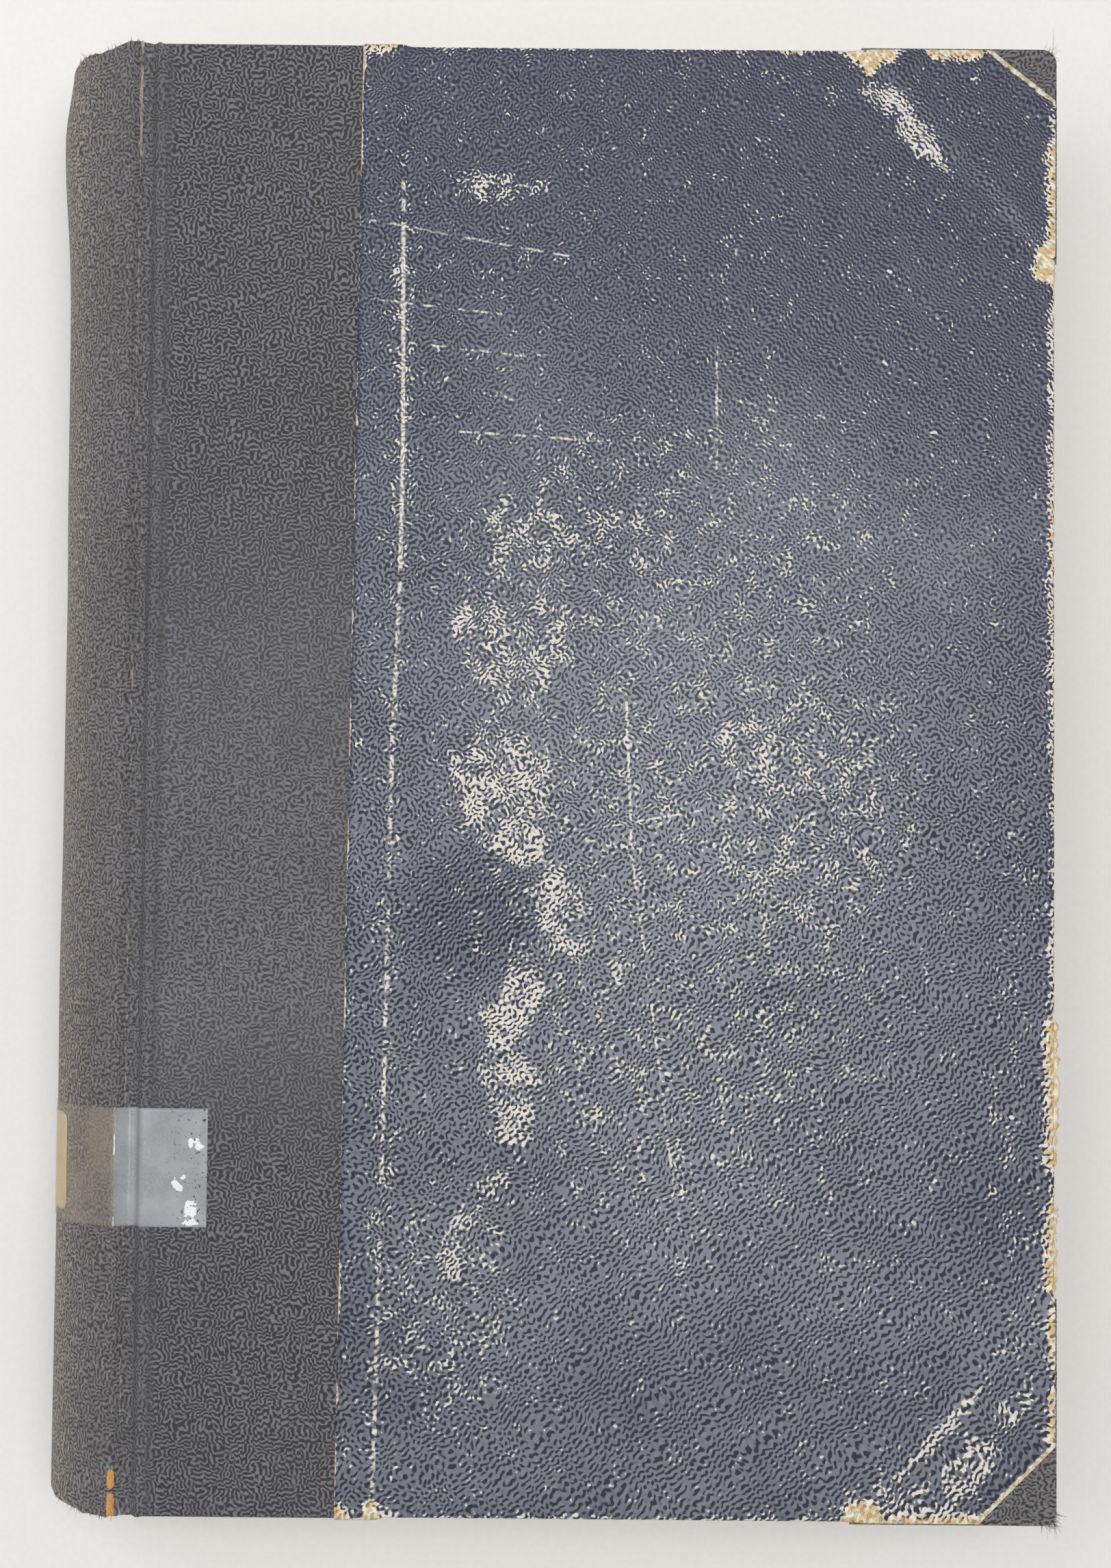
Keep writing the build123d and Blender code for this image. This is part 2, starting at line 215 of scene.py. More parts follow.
class StageSettings(bpy.types.PropertyGroup):
    """Floor, lamps and camera"""

    floor: colour_property("Floor", "Pale floor", 234, 233, 231)
    sky: bpy.props.FloatProperty(name="Sky", description="Strength of the even light", default=0.53, min=0)
    key: bpy.props.FloatProperty(
        name="Key lamp", description="Power of the lamp", default=2.8, unit="POWER", min=0
    )
    overhead: bpy.props.FloatProperty(
        name="Overhead lamp", description="Power of the lamp over the book", default=3.1,
        unit="POWER", min=0,
    )
    lens: bpy.props.FloatProperty(name="Lens", description="Focal length", default=52.5, unit="CAMERA")


# Shapes


def softened(values, softness):
    """A running average over evenly spaced values, weighted by a bell curve. Both ends are carried
    on by turning the line half round about its last point, so they stay where they are."""
    reach = int(4 * softness / LINE_STEP)
    offsets = np.arange(-reach, reach + 1) * LINE_STEP
    weights = np.exp(-0.5 * (offsets / softness) ** 2)
    before = 2 * values[0] - values[reach:0:-1]
    after = 2 * values[-1] - values[-2:-reach - 2:-1]
    return np.convolve(np.concatenate((before, values, after)), weights / weights.sum(), "valid")


def case_line():
    """The cloth's outer line over one half of the book, from the middle of the round to its hidden
    edge on the board. It is an arc about the centre of the round up to the shoulder ridge, then
    straight runs down to the floor of the joint groove and up on to the board, with corners softened.
    Returns distance along it, x, z and the outward normal's x and z."""
    angle = np.linspace(0, RIDGE_ANGLE, 400)
    arc = np.stack((ROUND_X - ROUND_RADIUS * np.cos(angle), MID_Z + ROUND_RADIUS * np.sin(angle)), 1)
    cloth_z = COVER_Z - PAPER
    floor_z = COVER_Z - GROOVE_DEPTH
    groove = ((GROOVE_LEFT, floor_z), (GROOVE_RIGHT, floor_z))
    board = ((BOARD_LOW[0], cloth_z), (max(CLOTH_EDGE), cloth_z))
    corners = np.concatenate((arc, groove, board))
    reached = np.concatenate(((0,), np.cumsum(np.hypot(*np.diff(corners, axis=0).T))))
    along = np.arange(0, reached[-1], LINE_STEP)
    x = softened(np.interp(along, reached, corners[:, 0]), CORNER_SOFTNESS)
    z = softened(np.interp(along, reached, corners[:, 1]), CORNER_SOFTNESS)
    dx, dz = np.gradient(x), np.gradient(z)
    length = np.hypot(dx, dz)
    return along, x, z, -dz / length, dx / length


def length_at(x):
    """Distance along the case line to the place above x, looked for past the round, where x only
    grows."""
    past = round(30 * MM / LINE_STEP)
    return float(np.interp(x, LINE[1][past:], LINE[0][past:]))


LINE = case_line()
RIDGE_S = ROUND_RADIUS * RIDGE_ANGLE
BOARD_S = length_at(BOARD_LOW[0])
CLOTH_EDGE_S = float(LINE[0][-1])


def ease(value, start, end):
    """0 before start, 1 after end and a smooth S between them."""
    t = np.clip((value - start) / (end - start), 0, 1)
    return t * t * (3 - 2 * t)


def fall(value, start, end):
    """1 before start, 0 after end and a smooth S between them."""
    return ease(-value, -end, -start)


def bell(value, middle, spread):
    """1 at middle, falling off with the square of the distance from it counted in spreads."""
    return np.exp(-((value - middle) / spread) ** 2)


def slanting(edge, y):
    """Where an edge that slants from the head to the tail lies across the book, at the height y."""
    return np.interp(y, (-END_Y, END_Y), edge[::-1])


def wander(value, pitch, seed):
    """A smooth random line between -1 and 1: random heights at every pitch along value, joined by
    smooth curves."""
    count = 512
    heights = np.random.default_rng(seed).uniform(-1, 1, count)
    place = np.asarray(value) / pitch + count / 2
    index = np.floor(place).astype(int)
    t = ease(place - index, 0, 1)
    return heights[index % count] * (1 - t) + heights[(index + 1) % count] * t


def case_points(s, y, out, side, cloth):
    """Points on the case, s along its line and y along the book, out of the cloth's face by out. The
    round has swollen near the head, and its folded ends wander in and out: at the head it dips beside
    the round and rises over the shoulder, at the tail it is worn short."""
    x, z, nx, nz = (np.interp(s, LINE[0], values) for values in LINE[1:])
    swell = cloth.head_swell * bell(y, SWELL_Y, np.where(y < SWELL_Y, SWELL_BELOW, SWELL_ABOVE))
    swell = swell * fall(s, 10 * MM, RIDGE_S - 2 * MM)
    slack = 0.12 * MM * wander(y + 3.1 * s, 21 * MM, 3) * fall(s, RIDGE_S - 4 * MM, RIDGE_S)
    out = out + swell + slack
    head = 0.5 * bell(s, 25.5 * MM, 2.6 * MM) - 0.6 * bell(s, 18 * MM, 2.8 * MM)
    tail = 0.9 * fall(s, 12 * MM, 18 * MM)
    shift = MM * (head * ease(y, 100 * MM, 118 * MM) + tail * ease(-y, 105 * MM, 119 * MM))
    worn = cloth.fray * wander(s, 0.9 * MM, 17)
    worn = worn * ease(np.abs(y), 117 * MM, 119 * MM) * fall(s, RIDGE_S, BOARD_S)
    height = MID_Z + side * (z + nz * out - MID_Z)
    return np.stack((x + nx * out, y + shift - np.sign(y) * worn + 0 * x, height), -1)


def fold_shape(count):
    """One turn of a sheet round an edge: how far along the turn stands out (0, 1, 0) and how deep it
    has gone (0 to 1). It is half a superellipse, squarer than a circle, as cloth is round a board."""
    angle = np.linspace(0, math.pi, count + 2)[1:-1]
    power = 2 / FOLD_SQUARENESS
    depth = (1 - np.sign(np.cos(angle)) * np.abs(np.cos(angle)) ** power) / 2
    return np.sin(angle) ** power, depth


def sheet_mesh(name, points, coordinates, keep=None, attributes=None, outward=None):
    """A mesh from rows and columns of points: one face between each four neighbours, one UV point in
    metres at each, and a float attribute for each named array. keep leaves out faces. outward is the
    way its faces look on the whole."""
    rows, columns = points.shape[:2]
    index = np.arange(rows * columns).reshape(rows, columns)
    faces = np.stack((index[:-1, :-1], index[:-1, 1:], index[1:, 1:], index[1:, :-1]), -1)
    across = points[:-1, 1:] - points[:-1, :-1]
    down = points[1:, :-1] - points[:-1, :-1]
    normal = np.cross(across, down).sum((0, 1))
    if outward is not None and normal @ np.array(outward) < 0:
        faces = faces[..., ::-1]
    faces = faces[keep] if keep is not None else faces.reshape(-1, 4)
    mesh = bpy.data.meshes.new(name)
    mesh.from_pydata(points.reshape(-1, 3), [], faces.tolist())
    for label, values in (attributes or {}).items():
        stored = mesh.attributes.new(label, "FLOAT", "POINT")
        stored.data.foreach_set("value", np.ascontiguousarray(values, np.float32).reshape(-1))
    corners = np.empty(len(mesh.loops), np.int32)
    mesh.loops.foreach_get("vertex_index", corners)
    layer = mesh.uv_layers.new(name="sheet")
    layer.uv.foreach_set("vector", coordinates.reshape(-1, 2)[corners].astype(np.float32).reshape(-1))
    return mesh


def tidy_mesh(mesh):
    """Joins points that lie together and drops faces with no area and points with no face."""
    nearest = 0.002 * MM
    work = bmesh.new()
    work.from_mesh(mesh)
    bmesh.ops.remove_doubles(work, verts=work.verts, dist=nearest)
    bmesh.ops.dissolve_degenerate(work, edges=work.edges, dist=nearest)
    loose = [vertex for vertex in work.verts if not vertex.link_faces]
    bmesh.ops.delete(work, geom=loose, context="VERTS")
    work.to_mesh(mesh)
    work.free()


def closed_mesh(name, points, faces):
    """A mesh of closed tubes and strips, with its faces turned outwards."""
    mesh = bpy.data.meshes.new(name)
    mesh.from_pydata(points, [], faces)
    work = bmesh.new()
    work.from_mesh(mesh)
    bmesh.ops.recalc_face_normals(work, faces=work.faces)
    work.to_mesh(mesh)
    work.free()
    return mesh


def place(mesh, material, slot, thickness=0.0):
    """Links a mesh as an object of the same name, smooth, with its material and, where it is a sheet, its
    thickness inwards. Its slot is not used."""
    thing = bpy.data.objects.new(mesh.name, mesh)
    bpy.context.scene.collection.objects.link(thing)
    mesh.materials.append(material)
    mesh.polygons.foreach_set("use_smooth", np.ones(len(mesh.polygons), bool))
    if thickness:
        wall = thing.modifiers.new("Thickness", "SOLIDIFY")
        wall.thickness = thickness
        wall.offset = -1
        wall.use_even_offset = False
    return thing


# Shader building


class Shade:
    """Adds nodes to one tree. A value may be a number, a colour or another node's output."""

    def __init__(self, tree):
        self.tree = tree

    def node(self, kind, inputs=None, **settings):
        made = self.tree.nodes.new(kind)
        for key, value in settings.items():
            setattr(made, key, value)
        for key, value in (inputs or {}).items():
            self.feed(made.inputs[key], value)
        return made

    def feed(self, socket, value):
        if isinstance(value, bpy.types.NodeSocket):
            self.tree.links.new(value, socket)
        elif socket.type == "RGBA" and len(value) == 3:
            socket.default_value = (*value, 1)
        else:
            socket.default_value = value

    def sheet_place(self):
        """Place on the unrolled sheet, in metres."""
        return self.node("ShaderNodeUVMap", uv_map="sheet").outputs[0]

    def object_place(self):
        """Place in the object's own coordinates, in metres."""
        return self.node("ShaderNodeTexCoord").outputs["Object"]

    def math(self, operation, *values, clamp=False):
        inputs = dict(enumerate(values))
        return self.node("ShaderNodeMath", inputs, operation=operation, use_clamp=clamp).outputs[0]

    def vector(self, operation, *values):
        return self.node("ShaderNodeVectorMath", dict(enumerate(values)), operation=operation)

    def ramp(self, value, start, end, low=0.0, high=1.0):
        """low before start, high after end and a smooth S between."""
        inputs = {0: value, 1: start, 2: end, 3: low, 4: high}
        return self.node("ShaderNodeMapRange", inputs, interpolation_type="SMOOTHSTEP").outputs[0]

    def mix(self, share, first, second):
        """A number that share takes from first to second."""
        return self.node("ShaderNodeMix", {0: share, 2: first, 3: second}).outputs[0]

    def blend(self, share, first, second):
        """A colour that share takes from first to second."""
        inputs = {0: share, 6: first, 7: second}
        return self.node("ShaderNodeMix", inputs, data_type="RGBA").outputs[2]

    def noise(self, vector, scale, detail=0.0, dimensions="2D", output=0):
        inputs = {"Vector": vector, "Scale": scale, "Detail": detail}
        return self.node("ShaderNodeTexNoise", inputs, noise_dimensions=dimensions).outputs[output]

    def stretched(self, vector, scale, turn=0.0):
        inputs = {"Vector": vector, "Rotation": (0, 0, math.radians(turn)), "Scale": scale}
        return self.node("ShaderNodeMapping", inputs).outputs[0]

    def attribute(self, name):
        return self.node("ShaderNodeAttribute", attribute_name=name).outputs["Fac"]

    def group(self, tree, **inputs):
        made = self.node("ShaderNodeGroup", node_tree=tree)
        for key, value in inputs.items():
            self.feed(made.inputs[key.replace("_", " ")], value)
        return made

    def bump(self, height, distance):
        inputs = {"Height": height, "Distance": distance, "Strength": 1.0}
        return self.node("ShaderNodeBump", inputs).outputs[0]


def new_group(name, inputs, outputs):
    """An empty node group with named float, vector and colour sockets. Returns it with its builder and
    its inputs."""
    tree = bpy.data.node_groups.new(name, "ShaderNodeTree")
    kinds = {"float": "NodeSocketFloat", "vector": "NodeSocketVector", "colour": "NodeSocketColor"}
    for label, kind in inputs.items():
        tree.interface.new_socket(label, in_out="INPUT", socket_type=kinds[kind])
    for label, kind in outputs.items():
        tree.interface.new_socket(label, in_out="OUTPUT", socket_type=kinds[kind])
    shade = Shade(tree)
    return tree, shade, shade.node("NodeGroupInput").outputs


def close_group(shade, **outputs):
    end = shade.node("NodeGroupOutput")
    for key, value in outputs.items():
        shade.feed(end.inputs[key.replace("_", " ")], value)
    return shade.tree


def kept_group(name, build):
    """The node group of that name, built on first use."""
    return bpy.data.node_groups.get(name) or build(name)


def leather_grain(name="Leather Grain"):
    """Pressed ridges that wind and fork. Six sine waves run in six directions, 30 degrees apart, over
    a vector counted in grain pitches, bent by slow noise and frayed by quick noise. Lean weighs each by
    one plus Lean times the cosine of twice its angle from 135 degrees, so that the ridges run up to the
    right near 1, up to the left near -1 and close into round pits at 0. The sum is scaled to a spread
    of one."""
    waves, lean_from = 6, math.radians(135)
    bends = ((0.17, 2.6), (1.25, 0.42))
    inputs = {"Vector": "vector", "Lean": "float"}
    tree, shade, given = new_group(name, inputs, {"Height": "float"})
    bent = given["Vector"]
    for scale, reach in bends:
        aside = shade.noise(given["Vector"], scale, output=1)
        bent = shade.vector("MULTIPLY_ADD", aside, (reach, reach, 0), bent).outputs[0]
    total = 0.0
    for index in range(waves):
        angle = math.radians(180 / waves * index)
        turns = 2 * math.pi * (1 + 0.13 * math.sin(2.4 * index + 1))
        axis = (turns * math.cos(angle), turns * math.sin(angle), 0)
        phase = shade.vector("DOT_PRODUCT", bent, axis).outputs["Value"]
        wave = shade.math("SINE", shade.math("ADD", phase, 1.7 * index))
        facing = math.cos(2 * (angle - lean_from))
        if abs(facing) > 0.01:
            weight = shade.math("MULTIPLY_ADD", given["Lean"], facing, 1.0)
            wave = shade.math("MULTIPLY", wave, weight)
        total = shade.math("ADD", wave, total)
    return close_group(shade, Height=shade.math("MULTIPLY", total, 1 / math.sqrt(waves / 2)))


def woven_threads(name="Woven Threads"):
    """Plain weave: the product of two sine waves, one along each thread, raised and lowered in turn."""
    tree, shade, given = new_group(name, {"Vector": "vector", "Pitch": "float"}, {"Height": "float"})
    parts = shade.node("ShaderNodeSeparateXYZ", {0: given["Vector"]}).outputs
    waves = []
    for part in parts[:2]:
        turns = shade.math("DIVIDE", part, given["Pitch"])
        waves.append(shade.math("SINE", shade.math("MULTIPLY", turns, 2 * math.pi)))
    woven = shade.math("MULTIPLY", waves[0], waves[1])
    return close_group(shade, Height=shade.math("MULTIPLY_ADD", woven, 0.5, 0.5))


def rubbing(name="Rubbing"):
    """Where hands and shelves rub a surface. Patches of noise, finer noise and the height of the grain
    are added to Amount and what passes a threshold is worn, save in the hollows."""
    inputs = {"Amount": "float", "Grain": "float", "Ridge": "float", "Vector": "vector"}
    tree, shade, given = new_group(name, inputs, {"Mask": "float"})
    level = shade.math("ADD", shade.noise(given["Vector"], 300.0, detail=3.0), given["Amount"])
    level = shade.math("MULTIPLY_ADD", shade.noise(given["Vector"], 1250.0, detail=1.0), 0.9, level)
    level = shade.math("MULTIPLY_ADD", given["Grain"], 0.09, level)
    worn = shade.ramp(level, 1.41, 1.50)
    return close_group(shade, Mask=shade.math("MULTIPLY", worn, given["Ridge"]))


def thin_line(name="Thin Line"):
    """A scratch along the zero line of a signed distance, with a half width, where Presence lets it
    show, broken up by noise."""
    inputs = {"Distance": "float", "Width": "float", "Presence": "float", "Vector": "vector"}
    tree, shade, given = new_group(name, inputs, {"Mask": "float"})
    away = shade.math("DIVIDE", shade.math("ABSOLUTE", given["Distance"]), given["Width"])
    level = shade.math("ADD", shade.noise(given["Vector"], 480.0, detail=2.0), given["Presence"])
    broken = shade.math("MULTIPLY", shade.ramp(level, 0.98, 1.14), shade.ramp(away, 0.3, 1.0, 1.0, 0.0))
    return close_group(shade, Mask=broken)


def ageing(name="Paper Ageing"):
    """Old paper: broad uneven tone and scattered brown foxing spots."""
    inputs = {"Vector": "vector", "Colour": "colour", "Stain": "colour", "Amount": "float"}
    tree, shade, given = new_group(name, inputs, {"Colour": "colour"})
    tone = shade.noise(given["Vector"], 22.0, detail=4.0, dimensions="3D")
    spots = shade.ramp(shade.noise(given["Vector"], 160.0, detail=1.0, dimensions="3D"), 0.66, 0.78)
    share = shade.math("ADD", shade.ramp(tone, 0.35, 0.75), shade.math("MULTIPLY", spots, 0.6))
    share = shade.math("MULTIPLY", share, given["Amount"], clamp=True)
    return close_group(shade, Colour=shade.blend(share, given["Colour"], given["Stain"]))


def new_material(name):
    """A material with one Principled shader. Returns it with its builder and that shader."""
    material = bpy.data.materials.new(name)
    material.use_nodes = True
    shade = Shade(material.node_tree)
    return material, shade, material.node_tree.nodes["Principled BSDF"]


# Finishes


def cloth_material(settings, sheet=True):
    """Dark grained book cloth. On the spine it reads the unrolled sheet: pressed worms that lean one way
    or the other from patch to patch, deep at head and tail and mixed with a plain weave between them,
    and upright fibres round the back and in the joint. Threads are paler where the grain is shallow,
    partly as a painted sheen, and the hollows between them are darkened with painted shade. A pale
    streak along the shoulder is rubbed cloth and partly a painted highlight. On a corner it reads the
    object's own coordinates, slanted so that the sides of the board get a pattern too."""
    material, shade, surface = new_material("book_cloth" if sheet else "corner_cloth")
    if sheet:
        vector = shade.sheet_place()
        names = ("fade", "ridge", "line", "split", "pressed", "drawn")
        fade, ridge, line, split, pressed, drawn = (shade.attribute(name) for name in names)
    else:
        parts = shade.node("ShaderNodeSeparateXYZ", {0: shade.object_place()}).outputs
        across, up = (shade.math("MULTIPLY_ADD", parts[2], 0.8, part) for part in parts[:2])
        vector = shade.node("ShaderNodeCombineXYZ", {0: across, 1: up}).outputs[0]
        fade, ridge, line, split, pressed, drawn = 0.1, 0.12, 0.0, 0.0, 0.25, 0.0
    pitches = 1 / settings.grain_pitch
    lean = shade.ramp(shade.noise(vector, 0.36 * pitches), 0.44, 0.54, -1.0, 1.0)
    grain = kept_group("Leather Grain", leather_grain)
    counted = shade.stretched(vector, (pitches, pitches, 1.0), 45)
    worms = shade.group(grain, Vector=counted, Lean=lean).outputs["Height"]
    worm = shade.ramp(worms, -0.95, 0.65)
    weaving = kept_group("Woven Threads", woven_threads)
    threads = shade.group(weaving, Vector=vector, Pitch=2 * settings.thread_pitch).outputs["Height"]
    slubs = shade.noise(shade.stretched(vector, (0.5, 1.5, 1.0)), 1500.0, detail=2.0)
    uprights = shade.noise(shade.stretched(vector, (1.9, 0.45, 1.0)), 1500.0, detail=3.0)
    weave = shade.math("MULTIPLY_ADD", threads, 0.45, shade.ramp(slubs, 0.42, 0.58, 0.0, 0.55))
    height = shade.mix(pressed, weave, worm)
    fibres = shade.math("MULTIPLY_ADD", threads, 0.25, shade.ramp(uprights, 0.44, 0.56, 0.0, 0.75))
    height = shade.mix(drawn, height, fibres)
    tone = shade.noise(vector, 45.0, detail=3.0)
    # Painted shade: the grain's hollows darken towards the hollow colour
    colour = shade.blend(shade.ramp(height, 0.0, 0.75), settings.hollow, settings.colour)
    colour = shade.blend(shade.ramp(height, 0.75, 1.0, 0.0, 0.4), colour, settings.thread)
    # Paler threads on the drawn cloth and in the woven middle, where they are partly a painted sheen
    bright = shade.math("MULTIPLY", drawn, 0.62)
    bright = shade.math("MAXIMUM", bright, shade.ramp(pressed, 0.4, 1.0, 0.45, 0.0))
    colour = shade.blend(bright, colour, settings.thread)
    colour = shade.blend(shade.ramp(tone, 0.25, 0.7, 0.25, 0.0), colour, settings.hollow)
    brown = shade.math("MULTIPLY", shade.ramp(uprights, 0.42, 0.60, 0.15, 1.0), fade)
    colour = shade.blend(brown, colour, settings.faded)
    # Painted shade in the low parts of the slubs and worms, where the cloth is smooth or drawn
    deep = shade.math("MULTIPLY_ADD", slubs, 1.6, shade.math("MULTIPLY", worm, 0.8))
    smooth = shade.math("MAXIMUM", shade.math("SUBTRACT", 1.0, pressed), drawn)
    dark = shade.math("MULTIPLY", shade.ramp(deep, 0.85, 1.3, 1.4, 0.0), smooth, clamp=True)
    colour = shade.blend(dark, colour, settings.hollow)
    # Pale rubbed cloth at the folded ends and along the shoulder, where the streak is partly a painted
    # highlight
    pale = shade.ramp(shade.math("MULTIPLY_ADD", uprights, 0.7, ridge), 0.66, 1.0, 0.0, 0.8)
    colour = shade.blend(pale, colour, settings.rubbed)
    colour = shade.blend(line, colour, settings.hollow)
    torn = shade.ramp(shade.math("MULTIPLY_ADD", uprights, 0.3, split), 0.55, 0.68)
    colour = shade.blend(torn, colour, settings.split)
    shade.feed(surface.inputs["Base Color"], colour)
    matt = shade.ramp(tone, 0.3, 0.7, 0.78, 0.9)
    shade.feed(surface.inputs["Roughness"], shade.math("MULTIPLY_ADD", height, -0.26, matt))
    surface.inputs["Specular IOR Level"].default_value = 0.38
    shade.feed(surface.inputs["Normal"], shade.bump(height, settings.grain_depth))
    surface.inputs["Sheen Weight"].default_value = 0.06
    return material


def paper_material(settings, worn=True):
    """Slate-blue side paper with a leather grain that is finer at the head than at the tail and deeper
    at the tail, leaning from patch to patch where the sheet has no lean of its own. Its colour is rubbed
    off the high spots where hands have worn it. It is paler where faded, in a painted sheen round the
    middle and in painted light towards the tail, and darker in painted shade towards the head; the
    grain's high spots carry a painted highlight and its hollows painted shade. Board shows where the
    edges are worn through, and pale lines where it was cut."""
    material, shade, surface = new_material("side_paper" if worn else "side_paper_back")
    vector = shade.sheet_place()
    place_on = shade.node("ShaderNodeSeparateXYZ", {0: vector}).outputs
    across = shade.math("MULTIPLY", place_on[0], shade.math("MULTIPLY_ADD", place_on[1], 2000.0, 1250.0))
    up = shade.math("MULTIPLY", place_on[1], shade.math("MULTIPLY_ADD", place_on[1], 1000.0, 1250.0))
    pitches = shade.node("ShaderNodeCombineXYZ", {0: across, 1: up}).outputs[0]
    pitches = shade.vector("SCALE", pitches)
    pitches.inputs["Scale"].default_value = 0.8 * MM / settings.grain_pitch
    pitches = pitches.outputs[0]
    lean = shade.attribute("lean")
    turned = shade.ramp(shade.noise(pitches, 0.34), 0.44, 0.55, -0.9, 0.9)
    spare = shade.math("SUBTRACT", 1.0, shade.math("ABSOLUTE", lean))
    leather = kept_group("Leather Grain", leather_grain)
    leaning = shade.math("MULTIPLY_ADD", turned, spare, lean)
    grain = shade.group(leather, Vector=pitches, Lean=leaning).outputs["Height"]
    ridge = shade.ramp(grain, -1.2, -0.25)
    bold = shade.ramp(place_on[1], -60 * MM, 90 * MM, 1.0, 0.6)
    tone = shade.noise(vector, 38.0, detail=4.0)
    speck = shade.noise(vector, 850.0, detail=2.0)
    uneven = shade.math("SUBTRACT", tone, 0.5)
    # Paler where the paper is faded, where a sheen and light falloff are painted in, and with random tone
    handling_and_painted_light = shade.math("MULTIPLY_ADD", uneven, 0.9, shade.attribute("handling_and_painted_light"))
    colour = shade.blend(shade.ramp(handling_and_painted_light, 0.0, 1.0), settings.colour, settings.faded)
    # Painted highlight: the grain's high spots are lightened towards the faded colour
    colour = shade.blend(shade.ramp(grain, 0.3, 1.8, 0.0, 0.45), colour, settings.faded)
    rub = shade.group(
        kept_group("Rubbing", rubbing), Amount=shade.attribute("rub"), Grain=grain, Ridge=ridge,
        Vector=vector,
    ).outputs["Mask"]
    cream = shade.blend(shade.ramp(speck, 0.38, 0.62), settings.rubbed, settings.cream)
    colour = shade.blend(shade.math("MULTIPLY", rub, 0.9), colour, cream)
    if worn:
        for label, width in (("scratch_up", 0.32), ("scratch_across", 0.26), ("long_rub", 0.48)):
            line = shade.group(
                kept_group("Thin Line", thin_line), Distance=shade.attribute(label), Width=width * MM,
                Presence=shade.attribute(f"{label}_shown"), Vector=vector,
            ).outputs[0]
            colour = shade.blend(shade.math("MULTIPLY", line, 0.85), colour, cream)
    ragged = shade.math("MULTIPLY_ADD", speck, 1.0 * MM, shade.math("MULTIPLY", tone, 1.5 * MM))
    ragged = shade.math("MULTIPLY_ADD", ridge, 0.5 * MM, ragged)
    reach = shade.math("SUBTRACT", shade.attribute("wear"), shade.attribute("edge"))
    bare = shade.ramp(shade.math("ADD", reach, ragged), 1.65 * MM, 1.85 * MM)
    # Painted shade in the grain's hollows, lighter near worn edges and weaker towards the head
    sunk = shade.ramp(ridge, 0.0, 0.75, 0.85, 0.0)
    pits = shade.math("MULTIPLY", sunk, shade.ramp(reach, 0.0, 1.6 * MM, 1.0, 0.25))
    pits = shade.math("MULTIPLY", pits, bold)
    board = shade.blend(shade.ramp(speck, 0.40, 0.66), settings.bare, settings.cream)
    colour = shade.blend(bare, colour, board)
    colour = shade.blend(pits, colour, settings.hollow)
    trim = shade.math("SUBTRACT", shade.attribute("cut_wear"), shade.attribute("cut"))
    trim = shade.math("MULTIPLY_ADD", speck, 0.7 * MM, trim)
    colour = shade.blend(shade.ramp(trim, 0.30 * MM, 0.42 * MM, 0.0, 0.9), colour, board)
    shade.feed(surface.inputs["Base Color"], colour)
    gloss = shade.math("MULTIPLY_ADD", ridge, -0.4, shade.ramp(tone, 0.3, 0.7, 0.76, 0.86))
    dull = shade.math("MAXIMUM", rub, bare)
    shade.feed(surface.inputs["Roughness"], shade.math("MULTIPLY_ADD", dull, 0.35, gloss))
    surface.inputs["Specular IOR Level"].default_value = 0.46
    height = shade.math("MULTIPLY", ridge, bold)
    shade.feed(surface.inputs["Normal"], shade.bump(height, settings.grain_depth))
    return material


def tape_material(settings):
    """Old clear tape: a glossy film, clear and brown round the back, milky on the board with a painted
    sheen there, creased over the ridge with painted highlights along the creases, with white blisters
    near its end and specks of dirt in the glue."""
    material, shade, surface = new_material("clear_tape")
    vector = shade.sheet_place()
    haze_and_sheen, blister = shade.attribute("haze_and_sheen"), shade.attribute("blister")
    creases = shade.noise(shade.stretched(vector, (1.0, 0.14, 1.0), 3), 1100.0, detail=2.0)
    cloudy = shade.noise(vector, 160.0, detail=3.0)
    ragged = shade.noise(vector, 650.0, detail=2.0)
    specks = shade.noise(vector, 1500.0, detail=1.0)
    # Brown aged film round the back, milky film on the board that is partly a painted sheen of the overhead
    # lamp
    film = shade.blend(haze_and_sheen, settings.aged, settings.film)
    dirt = shade.math("MULTIPLY", shade.ramp(specks, 0.68, 0.75), shade.attribute("dirty"))
    white = shade.ramp(shade.math("MULTIPLY_ADD", ragged, 2.2, blister), 1.92, 2.05)
    # Painted highlight: white along the creases
    folded = shade.math("MULTIPLY_ADD", creases, 0.6, shade.attribute("crease"))
    bright = shade.math("MULTIPLY_ADD", ragged, 0.7, folded)
    white = shade.math("MAXIMUM", white, shade.ramp(bright, 1.50, 1.70))
    colour = shade.blend(white, film, (0.86, 0.88, 0.9))
    shade.feed(surface.inputs["Base Color"], shade.blend(dirt, colour, (0.03, 0.03, 0.03)))
    veil = shade.math("MULTIPLY_ADD", haze_and_sheen, 0.24, shade.ramp(cloudy, 0.3, 0.7, 0.10, 0.20))
    alpha = shade.math("MAXIMUM", veil, shade.math("MAXIMUM", shade.math("MULTIPLY", white, 0.85), dirt))
    shade.feed(surface.inputs["Alpha"], alpha)
    shade.feed(surface.inputs["Roughness"], shade.ramp(cloudy, 0.35, 0.7, 0.12, 0.28))
    crease = shade.attribute("crease")
    height = shade.math("MULTIPLY_ADD", creases, crease, shade.math("MULTIPLY", cloudy, 1.5))
    shade.feed(surface.inputs["Normal"], shade.bump(height, 0.10 * MM))
    surface.inputs["Specular IOR Level"].default_value = 0.9
    return material


